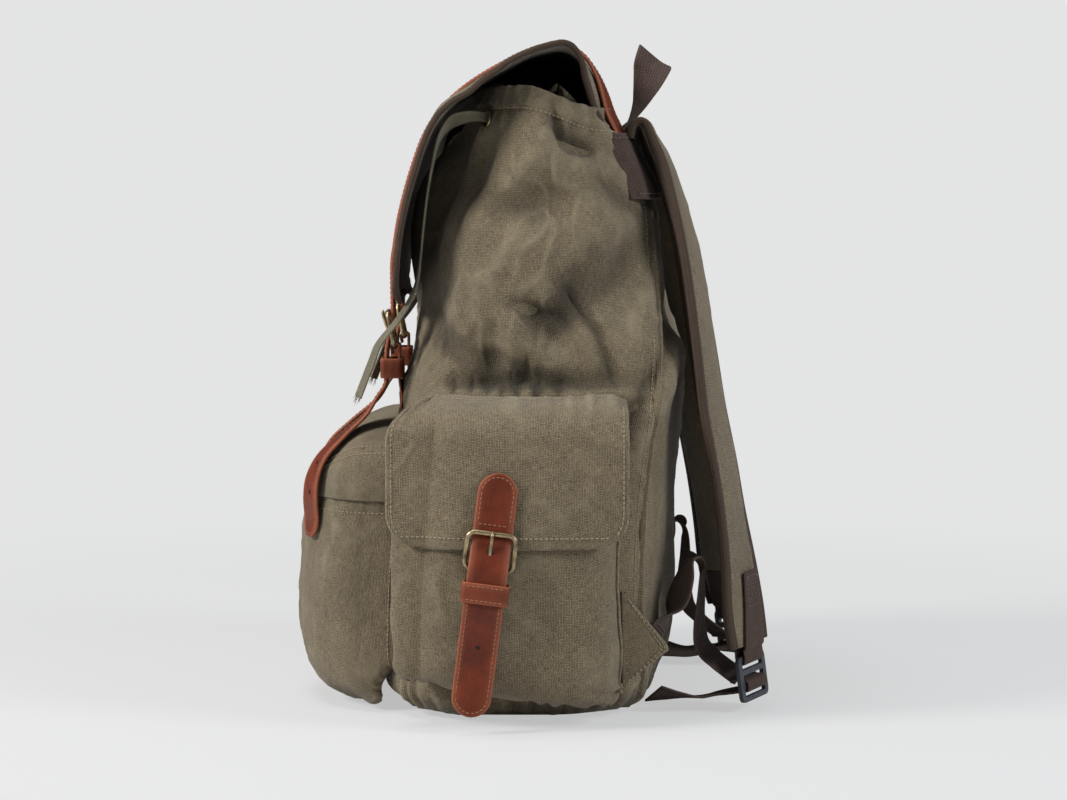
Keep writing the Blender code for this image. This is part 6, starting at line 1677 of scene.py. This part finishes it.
for label, side in SIDES:
    path = smooth(shoulder_rows(0), 190)
    if side < 0:
        path[:, 1] -= 0.0080 * np.sin(np.linspace(0, math.pi, 190)) ** 0.8
    sides, out = frames(path[:, :3], path[:, 3:6])
    turn = np.arange(44) / 44 * 2 * math.pi
    u = np.sign(np.cos(turn)) * np.abs(np.cos(turn)) ** 0.55
    w = np.sin(turn) * (0.30 + 0.70 * (1 - np.abs(u) ** 3.2))
    u, w = u[::-1], w[::-1]
    half_wide, half_thick = path[:, 6:7] / 2 - 0.0010, path[:, 7:8] / 2
    swell = 1 + 0.05 * np.sin(np.linspace(0, 1, 190) * 21)[:, None]
    points = path[:, None, :3] + sides[:, None] * (u * half_wide)[..., None] + \
        out[:, None] * (w * half_thick * swell)[..., None]
    dents = crumple(points, 0.0011, 0.0008, 61 + side)
    middle = points.mean(axis=1, keepdims=True)
    way = unit((points - middle) * 1.0 - sides[:, None] * np.sum((points - middle) * sides[:, None], axis=2,
                                                                   keepdims=True))
    quiet = (1 - np.abs(u) ** 4)[None] * step(0.0, 0.06, np.linspace(0, 1, 190))[:, None]
    quiet = quiet * (1 - 0.8 * step(0.84, 0.90, np.linspace(0, 1, 190)))[:, None]
    points = points + way * (dents * quiet)[..., None]
    run = np.concatenate(([0], np.cumsum(np.linalg.norm(np.diff(path[:, :3], axis=0), axis=1))))
    cloth = np.stack((u * half_wide + 0.2 * (w > 0), np.broadcast_to(run[:, None], (190, 44)),
                      rubbed(dents, 3, wrap=True)), axis=-1)
    faces = quads(190, 44) + [tuple(range(44)), tuple(189 * 44 + k for k in range(44))]
    pad = piece("shoulder_pad_" + label, points, faces, CANVAS, ("shoulder_strap_" + label,), cloth,
                side=side)
    for word, sign in (("inner", 1), ("outer", -1)):
        edge = path[:, :3] + sides * half_wide * sign
        binding("shoulder_binding_%s_%s" % (word, label), edge, out, sides * sign, 0.0065,
                half_thick.mean() * 0.30 + 0.0012, side=side)
    end, end_across, end_down, end_out = path[-1, :3], sides[-1], unit(path[-1, :3] - path[-12, :3]), out[-1]

    # The coarse strap's last stretch sets where the lock hangs
    coarse = smooth(shoulder_rows(), 17)
    coarse_sides, coarse_out = frames(coarse[:, :3], coarse[:, 3:6])
    end, across, down, out_way = coarse[-1, :3], coarse_sides[-1], unit(coarse[-1, :3] - coarse[-2, :3]), coarse_out[-1]
    lock_tall = 4 * LOCK_BAR + 3 * LOCK_SLOT
    lock_middle = end + down * (LOCK_DOWN + lock_tall / 2)
    slots = [lock_middle + down * (-lock_tall / 2 + LOCK_BAR + LOCK_SLOT / 2 + k * (LOCK_BAR + LOCK_SLOT))
             for k in range(3)]
    lock = bpy.data.objects["ladder_lock_" + label]
    lock.data.materials.clear()
    lock.data.materials.append(PLASTIC)
    joined = lock.modifiers.new("joined", "WELD")
    joined.merge_threshold = 0.00002
    rounded = lock.modifiers.new("rounded edges", "BEVEL")
    rounded.width = 0.0006
    rounded.segments = 2
    rounded.angle_limit = math.radians(35)

    fine = smooth(shoulder_rows(), 60)
    fine_sides, fine_out = frames(fine[:, :3], fine[:, 3:6])
    half = WEBBING_THICK / 2
    rows = []
    for k in (51, 53, 55, 57, 59):
        rows.append(np.concatenate((fine[k, :3] + fine_out[k] * (fine[k, 7] / 2 + GAP + half + STRAP_EASE),
                                    fine_sides[k])))
    bar = slots[0] - down * (LOCK_SLOT + LOCK_BAR) / 2
    reach = LOCK_THICK / 2 + GAP + half + 0.0005
    low = LOCK_BAR / 2 + GAP + half + 0.0003
    for n, v in ((1.0, -1.6), (1.0, 0.0), (0.62, 0.90), (0.0, 1.0), (-0.62, 0.90), (-1.0, 0.0), (-1.0, -1.6)):
        rows.append(np.concatenate((bar + out_way * reach * n + down * low * v, across)))
    for k in (59, 57, 55):
        rows.append(np.concatenate((fine[k, :3] - fine_out[k] * (fine[k, 7] / 2 + GAP + half + STRAP_EASE),
                                    fine_sides[k])))
    made, line = strap("webbing_patch_" + label, rows, None, WEBBING_WIDTH, WEBBING_THICK, TAPE,
                       ("strap_patch_" + label,), count=110, side=side)
    box = [strap_line(line, 0.003, 0.022, sign * 0.0100) for sign in (-1, 1)]
    box += [strap_row(line, run, -0.0100, 0.0100) for run in (0.003, 0.022)]
    box += [strap_line(line, 0.003, 0.022, np.linspace(-1, 1, 23) * sign * 0.0100) for sign in (-1, 1)]
    stitches("webbing_patch_stitches_" + label, box, DARK_THREAD, side=side)

    bar = (slots[1] + slots[2]) / 2
    reach = LOCK_THICK / 2 + GAP + half + 0.0004
    low = LOCK_BAR / 2 + GAP + half + 0.0004
    rows = [np.array(row) for row in WEBBING_LEAD]
    for n, v in ((-3.2, -1.35), (-1.6, -1.1), (0.0, -1.04), (0.75, -0.9), (1.0, -0.35), (1.0, 0.35), (0.75, 0.9),
                 (0.0, 1.04), (-1.6, 1.1), (-3.2, 1.30)):
        rows.append(np.concatenate((bar + out_way * reach * n + down * low * v, -across)))
    rows += [np.array(row) for row in WEBBING_TAIL]
    made, line = strap("webbing_run_" + label, rows, None, WEBBING_WIDTH, WEBBING_THICK, TAPE,
                       ("lower_webbing_" + label,), count=220, side=side)
    stitches("webbing_run_stitches_" + label, [strap_row(line, 0.004, -0.010, 0.010),
             strap_row(line, line["run"][-1] - 0.004, -0.010, 0.010)], DARK_THREAD, side=side)


# Corner tabs: canvas triangles folded over and sewn into the side seams low down, each of which holds the
# end of the lower webbing. Two rows of stitches run along the free edges.
TAB_CORNERS = np.array(((0.0565, 0.0840), (0.0850, 0.0490), (0.0860, 0.0450), (0.0575, 0.0230)))


def body_side(y, z):
    middle, deep, half, square = section_at(z / BODY_HEIGHT)
    return half * np.clip(1 - np.abs((y - middle) / deep) ** square, 0.0, 1.0) ** (1 / square)


for label, side in SIDES:
    rows = []
    for t in np.linspace(0, 1, 46):
        left = TAB_CORNERS[3] + (TAB_CORNERS[0] - TAB_CORNERS[3]) * t
        right_line = np.array([TAB_CORNERS[3], TAB_CORNERS[2], TAB_CORNERS[1], TAB_CORNERS[0]])
        lengths = np.concatenate(([0], np.cumsum(np.linalg.norm(np.diff(right_line, axis=0), axis=1))))
        at = t * lengths[-1]
        right_side = np.array([np.interp(at, lengths, right_line[:, k]) for k in (0, 1)])
        row = []
        for q in np.linspace(1, 0, 34):
            y, z = left * (1 - q) + right_side * q
            lean = (y - 0.053) * 0.30
            x = body_side(0.053, z) + GAP * 2 + 0.0030 - lean
            row.append((max(float(x), float(body_side(y, z)) + GAP * 2 + 0.0030), y, z))
        rows.append(row)
    grid = np.array(rows)[:, ::-1]
    made, grid, normals = panel("corner_tab_" + label, grid, 0.0030, CANVAS, ("gusset_tab_" + label,),
                                crumple(grid, 0.0010, 0.0004, 71 + side), side)
    rows = []
    for inset in (3, 6):
        rows.append((grid[2:-2, -inset], normals[2:-2, -inset]))
    stitches("corner_tab_stitches_" + label, rows, OLIVE_THREAD, side=side)
